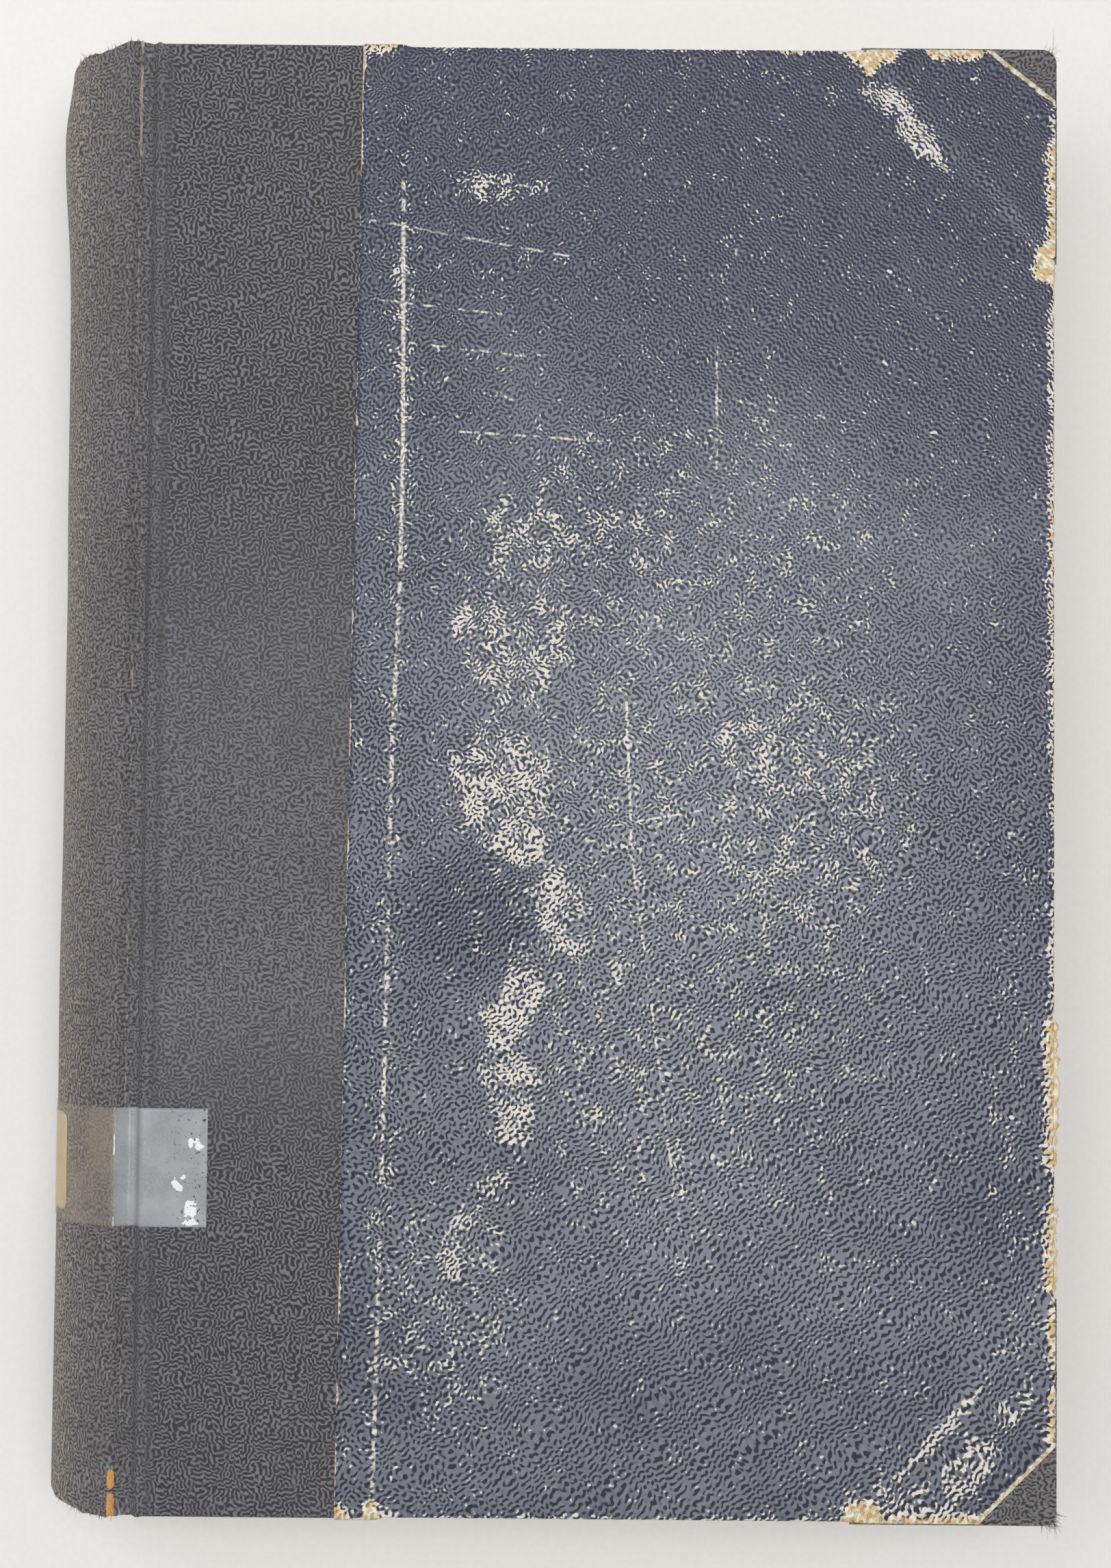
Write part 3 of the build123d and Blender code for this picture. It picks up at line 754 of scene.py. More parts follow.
def paper_stock(name, colour, stain, amount, fibre_scale=2600.0):
    """Plain uncoated paper, aged: uneven tone, foxing and a soft felt of fibres."""
    material, shade, surface = new_material(name)
    vector = shade.object_place()
    foxed = kept_group("Paper Ageing", ageing)
    aged = shade.group(foxed, Vector=vector, Colour=colour, Stain=stain, Amount=amount)
    fibres = shade.noise(vector, fibre_scale, detail=2.0, dimensions="3D")
    colour = shade.blend(shade.ramp(fibres, 0.3, 0.7, 0.16, 0.0), aged.outputs["Colour"], stain)
    shade.feed(surface.inputs["Base Color"], colour)
    surface.inputs["Roughness"].default_value = 0.85
    surface.inputs["Specular IOR Level"].default_value = 0.25
    shade.feed(surface.inputs["Normal"], shade.bump(fibres, 0.03 * MM))
    return material


def leaf_material(settings):
    """The cut edges of the leaves: long thin streaks that follow each leaf, browned in places."""
    material, shade, surface = new_material("page_edges")
    vector = shade.object_place()
    leaf = shade.stretched(vector, (12.0, 12.0, 1 / settings.leaf))
    leaves = shade.noise(leaf, 1.0, detail=2.0, dimensions="3D")
    gathered = shade.stretched(vector, (5.0, 5.0, 0.2 / settings.leaf))
    groups = shade.noise(gathered, 1.0, detail=1.0, dimensions="3D")
    foxed = kept_group("Paper Ageing", ageing)
    aged = shade.group(foxed, Vector=vector, Colour=settings.page, Stain=settings.browned, Amount=0.7)
    colour = shade.blend(shade.ramp(leaves, 0.32, 0.5, 0.65, 0.0), aged.outputs["Colour"], settings.browned)
    colour = shade.blend(shade.ramp(groups, 0.3, 0.5, 0.4, 0.0), colour, settings.browned)
    shade.feed(surface.inputs["Base Color"], colour)
    surface.inputs["Roughness"].default_value = 0.85
    surface.inputs["Specular IOR Level"].default_value = 0.2
    height = shade.math("MULTIPLY_ADD", groups, 0.8, leaves)
    shade.feed(surface.inputs["Normal"], shade.bump(height, 0.12 * MM))
    return material


def gauze_material(settings):
    """Open-weave lining: threads of both directions over a darker ground of glue."""
    material, shade, surface = new_material("mull")
    vector = shade.object_place()
    weaving = kept_group("Woven Threads", woven_threads)
    threads = shade.group(weaving, Vector=vector, Pitch=1.4 * MM).outputs[0]
    glue = shade.noise(vector, 90.0, detail=3.0, dimensions="3D")
    colour = shade.blend(shade.ramp(threads, 0.3, 0.6), settings.board, settings.mull)
    colour = shade.blend(shade.ramp(glue, 0.4, 0.7, 0.0, 0.35), colour, settings.kraft)
    shade.feed(surface.inputs["Base Color"], colour)
    surface.inputs["Roughness"].default_value = 0.8
    shade.feed(surface.inputs["Normal"], shade.bump(threads, 0.08 * MM))
    return material


def headband_material(settings):
    """Cotton wrapped round a cord: slanting threads in two tones."""
    material, shade, surface = new_material("headband")
    vector = shade.object_place()
    wraps = shade.node(
        "ShaderNodeTexWave", {"Vector": vector, "Scale": 260.0, "Distortion": 1.2, "Detail": 1.0},
        wave_type="BANDS", bands_direction="Z",
    ).outputs["Fac"]
    dust = shade.noise(vector, 300.0, detail=2.0, dimensions="3D")
    colour = shade.blend(wraps, settings.browned, settings.cotton)
    colour = shade.blend(shade.ramp(dust, 0.45, 0.7, 0.0, 0.4), colour, settings.kraft)
    shade.feed(surface.inputs["Base Color"], colour)
    surface.inputs["Roughness"].default_value = 0.75
    surface.inputs["Sheen Weight"].default_value = 0.3
    shade.feed(surface.inputs["Normal"], shade.bump(wraps, 0.15 * MM))
    return material


def board_material(settings):
    """Pressed grey board: flecked pulp with darker layers seen at its cut edges."""
    material, shade, surface = new_material("grey_board")
    vector = shade.object_place()
    plies = shade.noise(shade.stretched(vector, (60.0, 60.0, 3500.0)), 1.0, detail=2.0, dimensions="3D")
    flecks = shade.noise(vector, 1300.0, detail=3.0, dimensions="3D")
    colour = shade.blend(shade.ramp(plies, 0.3, 0.7, 0.35, 0.0), settings.board, settings.kraft)
    colour = shade.blend(shade.ramp(flecks, 0.58, 0.7, 0.0, 0.7), colour, settings.page)
    shade.feed(surface.inputs["Base Color"], colour)
    surface.inputs["Roughness"].default_value = 0.9
    shade.feed(surface.inputs["Normal"], shade.bump(shade.math("ADD", plies, flecks), 0.06 * MM))
    return material


def fibre_material(name, light, dark):
    """Loose threads and torn board: two tones that change from one to the next."""
    material, shade, surface = new_material(name)
    vector = shade.object_place()
    tone = shade.noise(vector, 700.0, detail=2.0, dimensions="3D")
    shade.feed(surface.inputs["Base Color"], shade.blend(shade.ramp(tone, 0.35, 0.65), dark, light))
    surface.inputs["Roughness"].default_value = 0.85
    surface.inputs["Specular IOR Level"].default_value = 0.2
    shade.feed(surface.inputs["Normal"], shade.bump(tone, 0.02 * MM))
    return material


# Case cloth


def case_rows(s):
    """Places along the book for one sheet of case cloth: turned in at the head, round the head edge,
    down the outside, round the tail edge and turned in again. A fold goes round the card of the spine,
    round the cloth alone at the joint and round the board, each with its own depth. Returns y, depth
    and the length along the sheet, each as rows by columns."""
    inlay_s = ROUND_RADIUS * math.radians(48)
    depth_stops = (0, inlay_s, inlay_s + 1 * MM, BOARD_S - 0.2 * MM, BOARD_S + 0.5 * MM, CLOTH_EDGE_S)
    board_fold = BOARD_HIGH[2] - BOARD_LOW[2] + 2 * CLOTH
    depths = (SPINE_FOLD, SPINE_FOLD, JOINT_FOLD, JOINT_FOLD, board_fold, board_fold)
    depth = np.interp(s, depth_stops, depths)[None, :]
    rounding = np.minimum(depth / 2, FOLD_ROUNDING)
    straight = END_Y - rounding
    near_end = 0.93
    run = np.concatenate((
        np.linspace(1, near_end, 20)[:-1],
        np.linspace(near_end, -near_end, 190),
        np.linspace(-near_end, -1, 20)[1:],
    ))
    inner = np.linspace(0, 1, 9)[1:, None]
    out, deep = (values[:, None] for values in fold_shape(8))
    turn = straight + rounding * out, depth * deep
    inside = straight - inner * (TURN_IN - rounding), depth + 0 * inner
    y = np.concatenate((inside[0][::-1], turn[0][::-1], run[:, None] * straight, -turn[0], -inside[0]))
    sunk = np.concatenate((inside[1][::-1], turn[1][::-1], 0 * run[:, None] * depth, turn[1], inside[1]))
    steps = np.hypot(np.diff(y, axis=0), np.diff(sunk, axis=0))
    length = np.concatenate((np.zeros((1, len(s))), np.cumsum(steps, axis=0)))
    return y, sunk, length - length[-1:] / 2


def cloth_marks(s, y, sunk):
    """Where the case cloth is browned, rubbed, darkened in a line, pressed, drawn and split, each from 0
    to 1. Browning follows the middle of the round. Rubbing is a narrow streak beside the shoulder ridge,
    strongest at the head, which is rubbed cloth and partly a painted highlight, and the folded ends. The
    grain is pressed deep at head and tail and shallow between them. Cloth round the back and in the joint
    is drawn along the book, up to a dark line where the grain starts. The split is a short slit at the
    tail of the joint, with a bridge of cloth."""
    fade = fall(s, 7 * MM, 22 * MM) * (0.80 + 0.2 * wander(y, 34 * MM, 8))
    fade = fade + 0.15 * fall(s, RIDGE_S, BOARD_S)
    # The streak is rubbed cloth and partly a painted highlight along the shoulder
    streak = bell(s - RIDGE_S, 1.7 * MM, 0.42 * MM)
    near_head = 0.30 * ease(y, 99 * MM, 104 * MM) * fall(y, 113 * MM, 116 * MM)
    along = 0.40 + 0.12 * wander(y, 9 * MM, 4) + near_head
    folds = bell(np.abs(y), END_Y, 0.9 * MM) * (0.30 + 0.25 * wander(s, 3 * MM, 5))
    ridge = np.clip(streak * along + folds * fall(s, BOARD_S, BOARD_S + 4 * MM), 0, 1)
    line = 0.5 * bell(s - BOARD_S, 1.3 * MM, 0.35 * MM) * (0.8 + 0.2 * wander(y, 7 * MM, 9))
    woven = ease(y, -75 * MM, -25 * MM) * fall(y, -15 * MM, 65 * MM)
    drawn = fall(s, BOARD_S + 0.9 * MM, BOARD_S + 2.1 * MM) * 0.6
    slit = bell(s - RIDGE_S, 0.2 * MM, 0.75 * MM) * ease(-y, 111.5 * MM, 113 * MM)
    slit = slit * (1 - 0.8 * bell(y, -115.6 * MM, 0.5 * MM)) * (sunk < 0.1 * MM)
    return {
        "fade": fade, "ridge": ridge, "line": line, "pressed": 1 - 0.6 * woven, "drawn": drawn,
        "split": slit,
    }


class BOOK_OT_case_cloth(bpy.types.Operator):
    """Two sheets of book cloth, each from the middle of the spine to its edge under the side paper"""

    bl_idname = "book.case_cloth"
    bl_label = "Case Cloth"

    def execute(self, context):
        cloth = context.scene.book_cloth
        material = cloth_material(cloth)
        shoulder, on_board = RIDGE_S - 2 * MM, BOARD_S + 1.5 * MM
        s = np.concatenate((
            np.linspace(0, shoulder, 30)[:-1],
            np.linspace(shoulder, on_board, 38)[:-1],
            np.linspace(on_board, CLOTH_EDGE_S, 34),
        ))
        y, sunk, length = case_rows(s)
        along = np.broadcast_to(s, y.shape)
        marks = cloth_marks(along, y, sunk)
        share = np.clip((along - BOARD_S - 2 * MM) / (CLOTH_EDGE_S - BOARD_S - 2 * MM), 0, 1)
        for name, side in SIDES.items():
            points = case_points(along, y, -sunk, side, cloth)
            points[..., 0] += share * (slanting(CLOTH_EDGE, y) - max(CLOTH_EDGE))
            unrolled = np.stack((side * along, length), -1)
            mesh = sheet_mesh(
                f"{name}_case_cloth", points, unrolled, attributes=marks, outward=(0, 0, side)
            )
            sheet = place(mesh, material, "book_cloth", CLOTH)
            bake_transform(sheet)
            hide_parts("spine_cloth", f"{name}_cloth")
        return {"FINISHED"}


# Side paper


def across_line(x, y, ends):
    """Signed distance of points from the straight line through two points, positive on its right as
    it is followed."""
    (ax, ay), (bx, by) = ends
    length = math.hypot(bx - ax, by - ay)
    return ((x - ax) * (by - ay) - (y - ay) * (bx - ax)) / length


def over_cloth(x, y):
    """1 where the side paper lies on cloth and 0 where it lies on board, with a soft step between."""
    spine = ease(slanting(CLOTH_EDGE, y) - x, -STEP_SOFTNESS, STEP_SOFTNESS)
    head = ease(-across_line(x, y, CORNER_CLOTH_HEAD), -STEP_SOFTNESS, STEP_SOFTNESS)
    tail = ease(across_line(x, y, CORNER_CLOTH_TAIL), -STEP_SOFTNESS, STEP_SOFTNESS)
    return np.maximum(spine, np.maximum(head, tail))


def cover_height(py):
    """The y of a place on the front cover, from its row of pixels in the photo."""
    return PHOTO_PLACE[1] + (PHOTO_MIDDLE[1] - np.asarray(py)) * PIXEL


def cover_place(px, py):
    """A place on the front cover from its pixel in the photo as read off. It holds for the camera of
    the stage, with the photo's middle pixel a little right of the camera and its frame turned a little."""
    y = cover_height(py)
    return PHOTO_PLACE[0] + (np.asarray(px) - PHOTO_MIDDLE[0]) * PIXEL - PHOTO_TURN * y, y


def line_marks(x, y, lines, reach=2.8 * MM):
    """Signed distance to the nearest of some open lines, each given by strength and photo pixels, and
    how far it shows: its strength near the line and between its ends, 0 further than reach."""
    nearest = np.full(x.shape, np.inf)
    signed = np.full(x.shape, reach)
    shown = np.zeros(x.shape)
    for strength, *corners in lines:
        xs, ys = cover_place(*np.array(corners, float).T)
        last = len(xs) - 2
        for part in range(last + 1):
            ax, ay, bx, by = xs[part], ys[part], xs[part + 1], ys[part + 1]
            length = math.hypot(bx - ax, by - ay)
            along = ((x - ax) * (bx - ax) + (y - ay) * (by - ay)) / length
            side = across_line(x, y, ((ax, ay), (bx, by)))
            distance = np.hypot(side, np.maximum(np.maximum(-along, along - length), 0))
            ends = ease(along, -0.5 * MM, 1.5 * MM) if part == 0 else 1.0
            ends = ends * (ease(length - along, -0.5 * MM, 1.5 * MM) if part == last else 1.0)
            here = strength * ends * fall(distance, 0.5 * reach, reach)
            signed = np.where(distance < nearest, side, signed)
            shown = np.where(distance < nearest, here, shown)
            nearest = np.minimum(distance, nearest)
    return np.clip(signed, -reach, reach), shown


# Rubbed patches of the front paper: left, top, right and bottom in photo pixels, turn in degrees and
# strength
FRONT_RUBS = (
    (650, 850, 750, 960, 0, 0.46), (676, 945, 765, 1008, 0, 0.46), (640, 1045, 835, 1262, 25, 0.47),
    (674, 1120, 716, 1220, 0, 0.64), (712, 1190, 812, 1272, 0, 0.60), (780, 1245, 842, 1385, 0, 0.58),
    (790, 1362, 895, 1402, 0, 0.46), (714, 1385, 800, 1548, -15, 0.54), (700, 1455, 775, 1540, 0, 0.62),
    (690, 1520, 800, 1630, 0, 0.48), (724, 1545, 790, 1705, 0, 0.50), (690, 1690, 756, 1770, 0, 0.42),
    (636, 1750, 712, 1890, -20, 0.40), (660, 715, 880, 850, 0, 0.38), (838, 750, 970, 810, 10, 0.38),
    (690, 840, 850, 1060, -30, 0.40), (1030, 1020, 1195, 1155, 0, 0.42), (1065, 1260, 1150, 1330, 0, 0.42),
    (990, 930, 1370, 1440, 0, 0.31), (860, 1320, 1500, 2050, 0, 0.12), (640, 230, 810, 290, 0, 0.38),
    (600, 540, 1400, 1050, 0, 0.24), (640, 800, 1350, 1900, 0, 0.25), (530, 1700, 780, 2130, 0, 0.27),
    (1250, 148, 1440, 192, -53, 0.60), (1255, 90, 1345, 150, -40, 0.44), (1274, 2066, 1470, 2090, 47, 0.50),
    (1332, 2098, 1492, 2166, 50, 0.50), (1415, 2020, 1535, 2070, 50, 0.40),
    (1200, 2140, 1420, 2240, 0, 0.42), (1430, 1060, 1550, 2100, 0, 0.18),
)

# Two patches of the front paper, one with less handling and one a painted shade over the head: the same,
# without the strength
DARK_PATCH = (590, 1240, 800, 1430, 0)
HEAD_PAINTED_SHADE = (480, 40, 1600, 360, 0)

# Edges of the front paper that are worn through: the edge, its first and last photo pixel along that
# edge and the depth in millimetres
EDGE_WEAR = (
    ("head", 480, 1560, -0.1), ("head", 525, 590, 1.0), ("head", 1136, 1190, 0.7),
    ("head", 1245, 1325, 2.2), ("head", 1262, 1300, 4.0), ("head", 1360, 1456, 1.7),
    ("fore", 60, 2230, 0.3), ("fore", 172, 345, 1.2), ("fore", 335, 405, 3.2), ("fore", 405, 1050, 0.6),
    ("fore", 1470, 1705, 1.5), ("fore", 1735, 1885, 1.7), ("fore", 1885, 1990, 1.0),
    ("fore", 2005, 2125, 1.1),
    ("tail", 480, 1560, 0.0), ("tail", 480, 518, 2.0), ("tail", 530, 563, 3.0),
    ("tail", 1225, 1290, 3.4), ("tail", 1285, 1445, 1.7),
)

# Rows of the photo where the head and tail edges lie
PHOTO_EDGE_ROWS = {"head": 70, "tail": 2220}

# Slivers of white at the paper's cut left edge: photo row and length in millimetres
LEFT_SLIVERS = ((2033, 1.6), (615, 1.4), (1900, 5.0), (76, 3.0))

# Scratches and the long rub beside the cloth: strength, then the corners in photo pixels
LONG_RUB = (
    (0.62, (590, 244), (590, 310)), (0.86, (590, 310), (590, 640), (586, 840)),
    (0.58, (586, 840), (575, 1100), (562, 1700), (549, 2190)),
)
SCRATCHES_UP = (
    (0.68, (918, 1005), (926, 1240)),
    (0.55, (926, 1240), (945, 1400), (957, 1485), (976, 1653), (996, 1790)),
    (0.56, (1053, 484), (1052, 690)), (0.66, (1301, 107), (1350, 170), (1401, 241)),
    (0.62, (1307, 2148), (1370, 2078), (1438, 2007)), (0.5, (1086, 330), (1080, 372)),
    (0.55, (1397, 868), (1394, 905)), (0.5, (838, 1420), (900, 1500)), (0.5, (620, 1870), (690, 1740)),
)
SCRATCHES_ACROSS = (
    (0.60, (532, 312), (700, 341), (861, 369)), (0.56, (531, 430), (746, 453)),
    (0.56, (593, 495), (777, 515)), (0.56, (640, 625), (900, 640)), (0.50, (1040, 564), (1185, 606)),
    (0.60, (853, 1214), (1039, 1180)), (0.52, (670, 250), (790, 262)),
    (0.5, (650, 1545), (850, 1600)), (0.5, (1055, 1598), (1110, 1600)),
)

# The tape's row in the photo, its creases by photo column and seed, whose white is a painted highlight, and
# its white blisters as patches
TAPE_ROW = 1710
TAPE_CREASES = ((172, 41), (222, 42))
TAPE_BLISTERS = ((255, 1708, 278, 1748, 0), (266, 1748, 300, 1796, 0), (276, 1664, 304, 1686, 0))

# Fibres of the fore edge: first and last photo row and how many
EDGE_FIBRES = ((1475, 1700, 46), (1745, 1880, 30), (340, 402, 14), (180, 335, 12))

# Torn plies of the fore edge: first and last photo row and width in millimetres
TORN_PLIES = ((1478, 1702, 1.15), (1748, 1884, 1.1), (1886, 1985, 0.7), (338, 402, 0.6))

# Threads at the corner tips: end of the book, the way they point and how many
CORNER_THREADS = ((1, (0.35, 0.9), 22), (-1, (0.8, -0.75), 80), (-1, (0.2, -1.0), 26))


def edge_marks(x, y, stretches):
    """How deep the edges are worn through, in metres, and the distance from the nearest edge. Each
    stretch fades in and out at its ends. Where there is none, wear stays below the surface."""
    unworn = -1.0 * MM
    wear = np.full(x.shape, unworn)
    for edge, start, end, depth in stretches:
        if edge == "fore":
            along, from_edge = y, PAPER_FORE_X - x
            low, high = cover_height(end), cover_height(start)
        else:
            along, from_edge = x, PAPER_END_Y - (y if edge == "head" else -y)
            low, high = (cover_place(px, PHOTO_EDGE_ROWS[edge])[0] for px in (start, end))
        within = ease(along, low - 0.8 * MM, low + 1.6 * MM) * fall(along, high - 1.6 * MM, high + 0.8 * MM)
        deep = depth * MM * (1 + 0.18 * wander(along, 2.6 * MM, 31)) * within + unworn * (1 - within)
        wear = np.where(from_edge < 7 * MM, np.maximum(wear, deep), wear)
    return wear, np.minimum(PAPER_FORE_X - x, PAPER_END_Y - np.abs(y))


def cut_marks(x, y, seed, front):
    """Distance from the sheet's cut edges, the slanting left one and the two corner cuts, and how wide
    a pale line shows there."""
    left = x - slanting(PAPER_EDGE, y)
    head, tail = across_line(x, y, PAPER_CUT_HEAD), -across_line(x, y, PAPER_CUT_TAIL)
    corner = np.minimum(head, tail)
    slivers = (0.02 + 0.24 * wander(y, 5 * MM, seed)) * MM
    if front:
        for py, reach in LEFT_SLIVERS:
            slivers = slivers + 0.5 * MM * bell(y, cover_height(py), reach * MM)
    return np.minimum(left, corner), np.where(corner < left, 0.7 * MM, slivers)


def blot(x, y, spot):
    """A soft oval patch, from the photo pixels of its left, top, right and bottom, its turn in degrees
    and its strength."""
    left, top, right, bottom, turn, strength = spot
    cx, cy = cover_place((left + right) / 2, (top + bottom) / 2)
    a = math.radians(turn)
    u = ((x - cx) * math.cos(a) + (y - cy) * math.sin(a)) / ((right - left) / 2 * PIXEL)
    v = ((y - cy) * math.cos(a) - (x - cx) * math.sin(a)) / ((bottom - top) / 2 * PIXEL)
    return strength * fall(np.hypot(u, v), 0.5, 1.3)


def front_marks(x, y):
    """Wear of the front side paper as arrays: rubbing, handling with a painted sheen and painted light and
    shade from tail to head, and lean of the grain as shares, the rest as distances and depths in metres."""
    wear, edge = edge_marks(x, y, EDGE_WEAR)
    rub = np.full(x.shape, 0.10)
    for spot in FRONT_RUBS:
        rub = np.maximum(rub, blot(x, y, spot))
    fringe = 0.56 * ease(wear - edge, -1.8 * MM, 0.2 * MM)
    shoulder = bell(edge, 0, 0.9 * MM) * (0.34 + 0.16 * wander(x + 1.7 * y, 5 * MM, 11))
    rub = np.maximum(rub, np.maximum(fringe, shoulder))
    cut, cut_wear = cut_marks(x, y, 21, True)
    up, up_shown = line_marks(x, y, SCRATCHES_UP)
    across, across_shown = line_marks(x, y, SCRATCHES_ACROSS)
    long_rub, long_shown = line_marks(x, y, LONG_RUB)
    rub = np.maximum(rub, 0.36 * long_shown)
    # Paler where hands have faded the paper, in a broad bell round the middle that is partly a painted
    # sheen of the overhead lamp, then painted light towards the tail and painted shade towards the head
    handling_and_painted_light = 0.08 + 0.62 * np.exp(-((x - 22 * MM) / (52 * MM)) ** 2 - ((y + 4 * MM) / (80 * MM)) ** 2)
    handling_and_painted_light = handling_and_painted_light + 0.32 * ease(-y, 10 * MM, 90 * MM) - 0.25 * ease(y, 40 * MM, 110 * MM)
    # Darker in the patch with less handling, and a painted shade over the head
    handling_and_painted_light = handling_and_painted_light - blot(x, y, (*DARK_PATCH, 0.45)) - blot(x, y, (*HEAD_PAINTED_SHADE, 0.10))
    lean = 0.95 * ease(-y, -15 * MM, 60 * MM) * ease(x, -60 * MM, 30 * MM)
    lean = lean - 0.85 * ease(y, 15 * MM, 70 * MM) * ease(x, -10 * MM, 40 * MM)
    lean = lean + blot(x, y, (*DARK_PATCH, 0.7))
    return {
        "rub": rub, "handling_and_painted_light": handling_and_painted_light, "lean": lean, "wear": wear, "edge": edge, "cut": cut,
        "cut_wear": cut_wear, "scratch_up": up, "scratch_up_shown": up_shown, "scratch_across": across,
        "scratch_across_shown": across_shown, "long_rub": long_rub, "long_rub_shown": long_shown,
    }


def back_marks(x, y):
    """Light even wear for the side that can't be seen: paper dulled here and there, edges rubbed pale
    and worn through only in short stretches."""
    edge = np.minimum(PAPER_FORE_X - x, PAPER_END_Y - np.abs(y))
    shoulder = bell(edge, 0, 1.3 * MM) * (0.36 + 0.16 * wander(x + 1.7 * y, 5 * MM, 12))
    wear = (-0.6 + 0.5 * wander(x - 1.3 * y, 7 * MM, 13)) * MM
    cut, cut_wear = cut_marks(x, y, 22, False)
    # No painted light on the back: only even fading with random tone
    handling_and_painted_light = 0.3 + 0.1 * wander(x, 30 * MM, 14)
    lean = 0.8 * wander(y + 0.4 * x, 60 * MM, 15)
    return {
        "rub": np.maximum(shoulder, 0.04), "handling_and_painted_light": handling_and_painted_light, "lean": lean, "wear": wear, "edge": edge,
        "cut": cut, "cut_wear": cut_wear,
    }


def side_paper_mesh(name, side, spacing, marks):
    """A side paper, worked out as the flat sheet it was cut from, p across and q along the book, with
    its corners cut off along straight lines. Each of three edges is a superellipse round the board,
    then a flat turn-in. Columns are even between the slanting left edge and the fore edge, and points
    past a cut are moved back to it. The height steps up where the sheet lies on cloth."""
    thick = BOARD_HIGH[2] - BOARD_LOW[2] + 2 * PAPER
    turn, deep = fold_shape(7)
    rounding = 0.9 * MM

    def wrapped(edge):
        """Length of sheet, place, depth fraction and bulge past the flat part of one edge."""
        out = np.concatenate(((0,), turn, (0,)))
        down = np.concatenate(((0,), deep, (1,)))
        inner = np.linspace(0, TURN_IN - rounding, 9)[1:]
        place_along = np.concatenate((edge - rounding + rounding * out, edge - rounding - inner))
        fraction = np.concatenate((down, np.ones(len(inner))))
        bulge = np.concatenate((out, np.zeros(len(inner))))
        steps = np.hypot(np.diff(place_along), thick * np.diff(fraction))
        length = edge - rounding + np.concatenate(((0,), np.cumsum(steps)))
        return length, place_along, fraction, bulge

    def read(table, values, column):
        return np.interp(values, table[0], table[column])

    fore, ends = wrapped(PAPER_FORE_X), wrapped(PAPER_END_Y)
    flat_rows = int(2 * (PAPER_END_Y - rounding) / spacing)
    half = np.linspace(PAPER_END_Y - rounding, -(PAPER_END_Y - rounding), flat_rows)
    q = np.concatenate((ends[0][:0:-1], half, -ends[0][1:]))
    left = slanting(PAPER_EDGE, q)
    share = np.linspace(0, 1, int((PAPER_FORE_X - PAPER_EDGE[1]) / spacing))[None, :]
    flat = left[:, None] + share * (PAPER_FORE_X - rounding - left[:, None])
    p = np.concatenate((flat, np.broadcast_to(fore[0][1:], (len(q), len(fore[0]) - 1))), axis=1)
    q = np.broadcast_to(q[:, None], p.shape)
    (hx, hy), (hx2, hy2) = PAPER_CUT_HEAD
    (tx, ty), (tx2, ty2) = PAPER_CUT_TAIL
    head_cut = hx + (hy - q) * (hx2 - hx) / (hy - hy2)
    tail_cut = tx + (q - ty) * (tx2 - tx) / (ty2 - ty)
    clipped = np.minimum(p, np.minimum(head_cut, tail_cut))
    inside = clipped <= fore[0][0]
    x = np.where(inside, clipped, read(fore, clipped, 1))
    level = np.abs(q) <= ends[0][0]
    y = np.where(level, q, np.sign(q) * read(ends, np.abs(q), 1))
    worn = marks(x, y)
    fraction = np.where(inside, 0, read(fore, clipped, 2)) + np.where(level, 0, read(ends, np.abs(q), 2))
    raised = over_cloth(x, y)
    top = COVER_Z - CLOTH * (1 - raised)
    bottom = COVER_Z - 2 * (CLOTH + PAPER) - (BOARD_HIGH[2] - BOARD_LOW[2]) + CLOTH * (1 - raised)
    z = top + (bottom - top) * np.clip(fraction, 0, 1)
    x = x + CLOTH * raised * np.where(inside, 0, read(fore, clipped, 3))
    y = y + np.sign(q) * CLOTH * raised * np.where(level, 0, read(ends, np.abs(q), 3))
    points = np.stack((x, y, MID_Z + side * (z - MID_Z)), -1)
    ahead = clipped[:, 1:] > clipped[:, :-1]
    keep = ahead[1:] | ahead[:-1]
    flat_sheet = np.stack((clipped, q), -1)
    mesh = sheet_mesh(name, points, flat_sheet, keep=keep, attributes=worn, outward=(0, 0, side))
    tidy_mesh(mesh)
    return mesh


class BOOK_OT_side_papers(bpy.types.Operator):
    """Leather-grained papers on both boards, turned in over three edges, with the front's wear"""

    bl_idname = "book.side_papers"
    bl_label = "Side Papers"

    def execute(self, context):
        paper = context.scene.book_paper
        for name, side in SIDES.items():
            front = side > 0
            spacing = paper.spacing if front else 2 * paper.spacing
            marks = front_marks if front else back_marks
            mesh = side_paper_mesh(f"{name}_side_paper", side, spacing, marks)
            sheet = place(mesh, paper_material(paper, worn=front), "side_paper", PAPER)
            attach(sheet, f"{name}_cover")
            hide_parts(f"{name}_siding")
        return {"FINISHED"}


# Label and tape


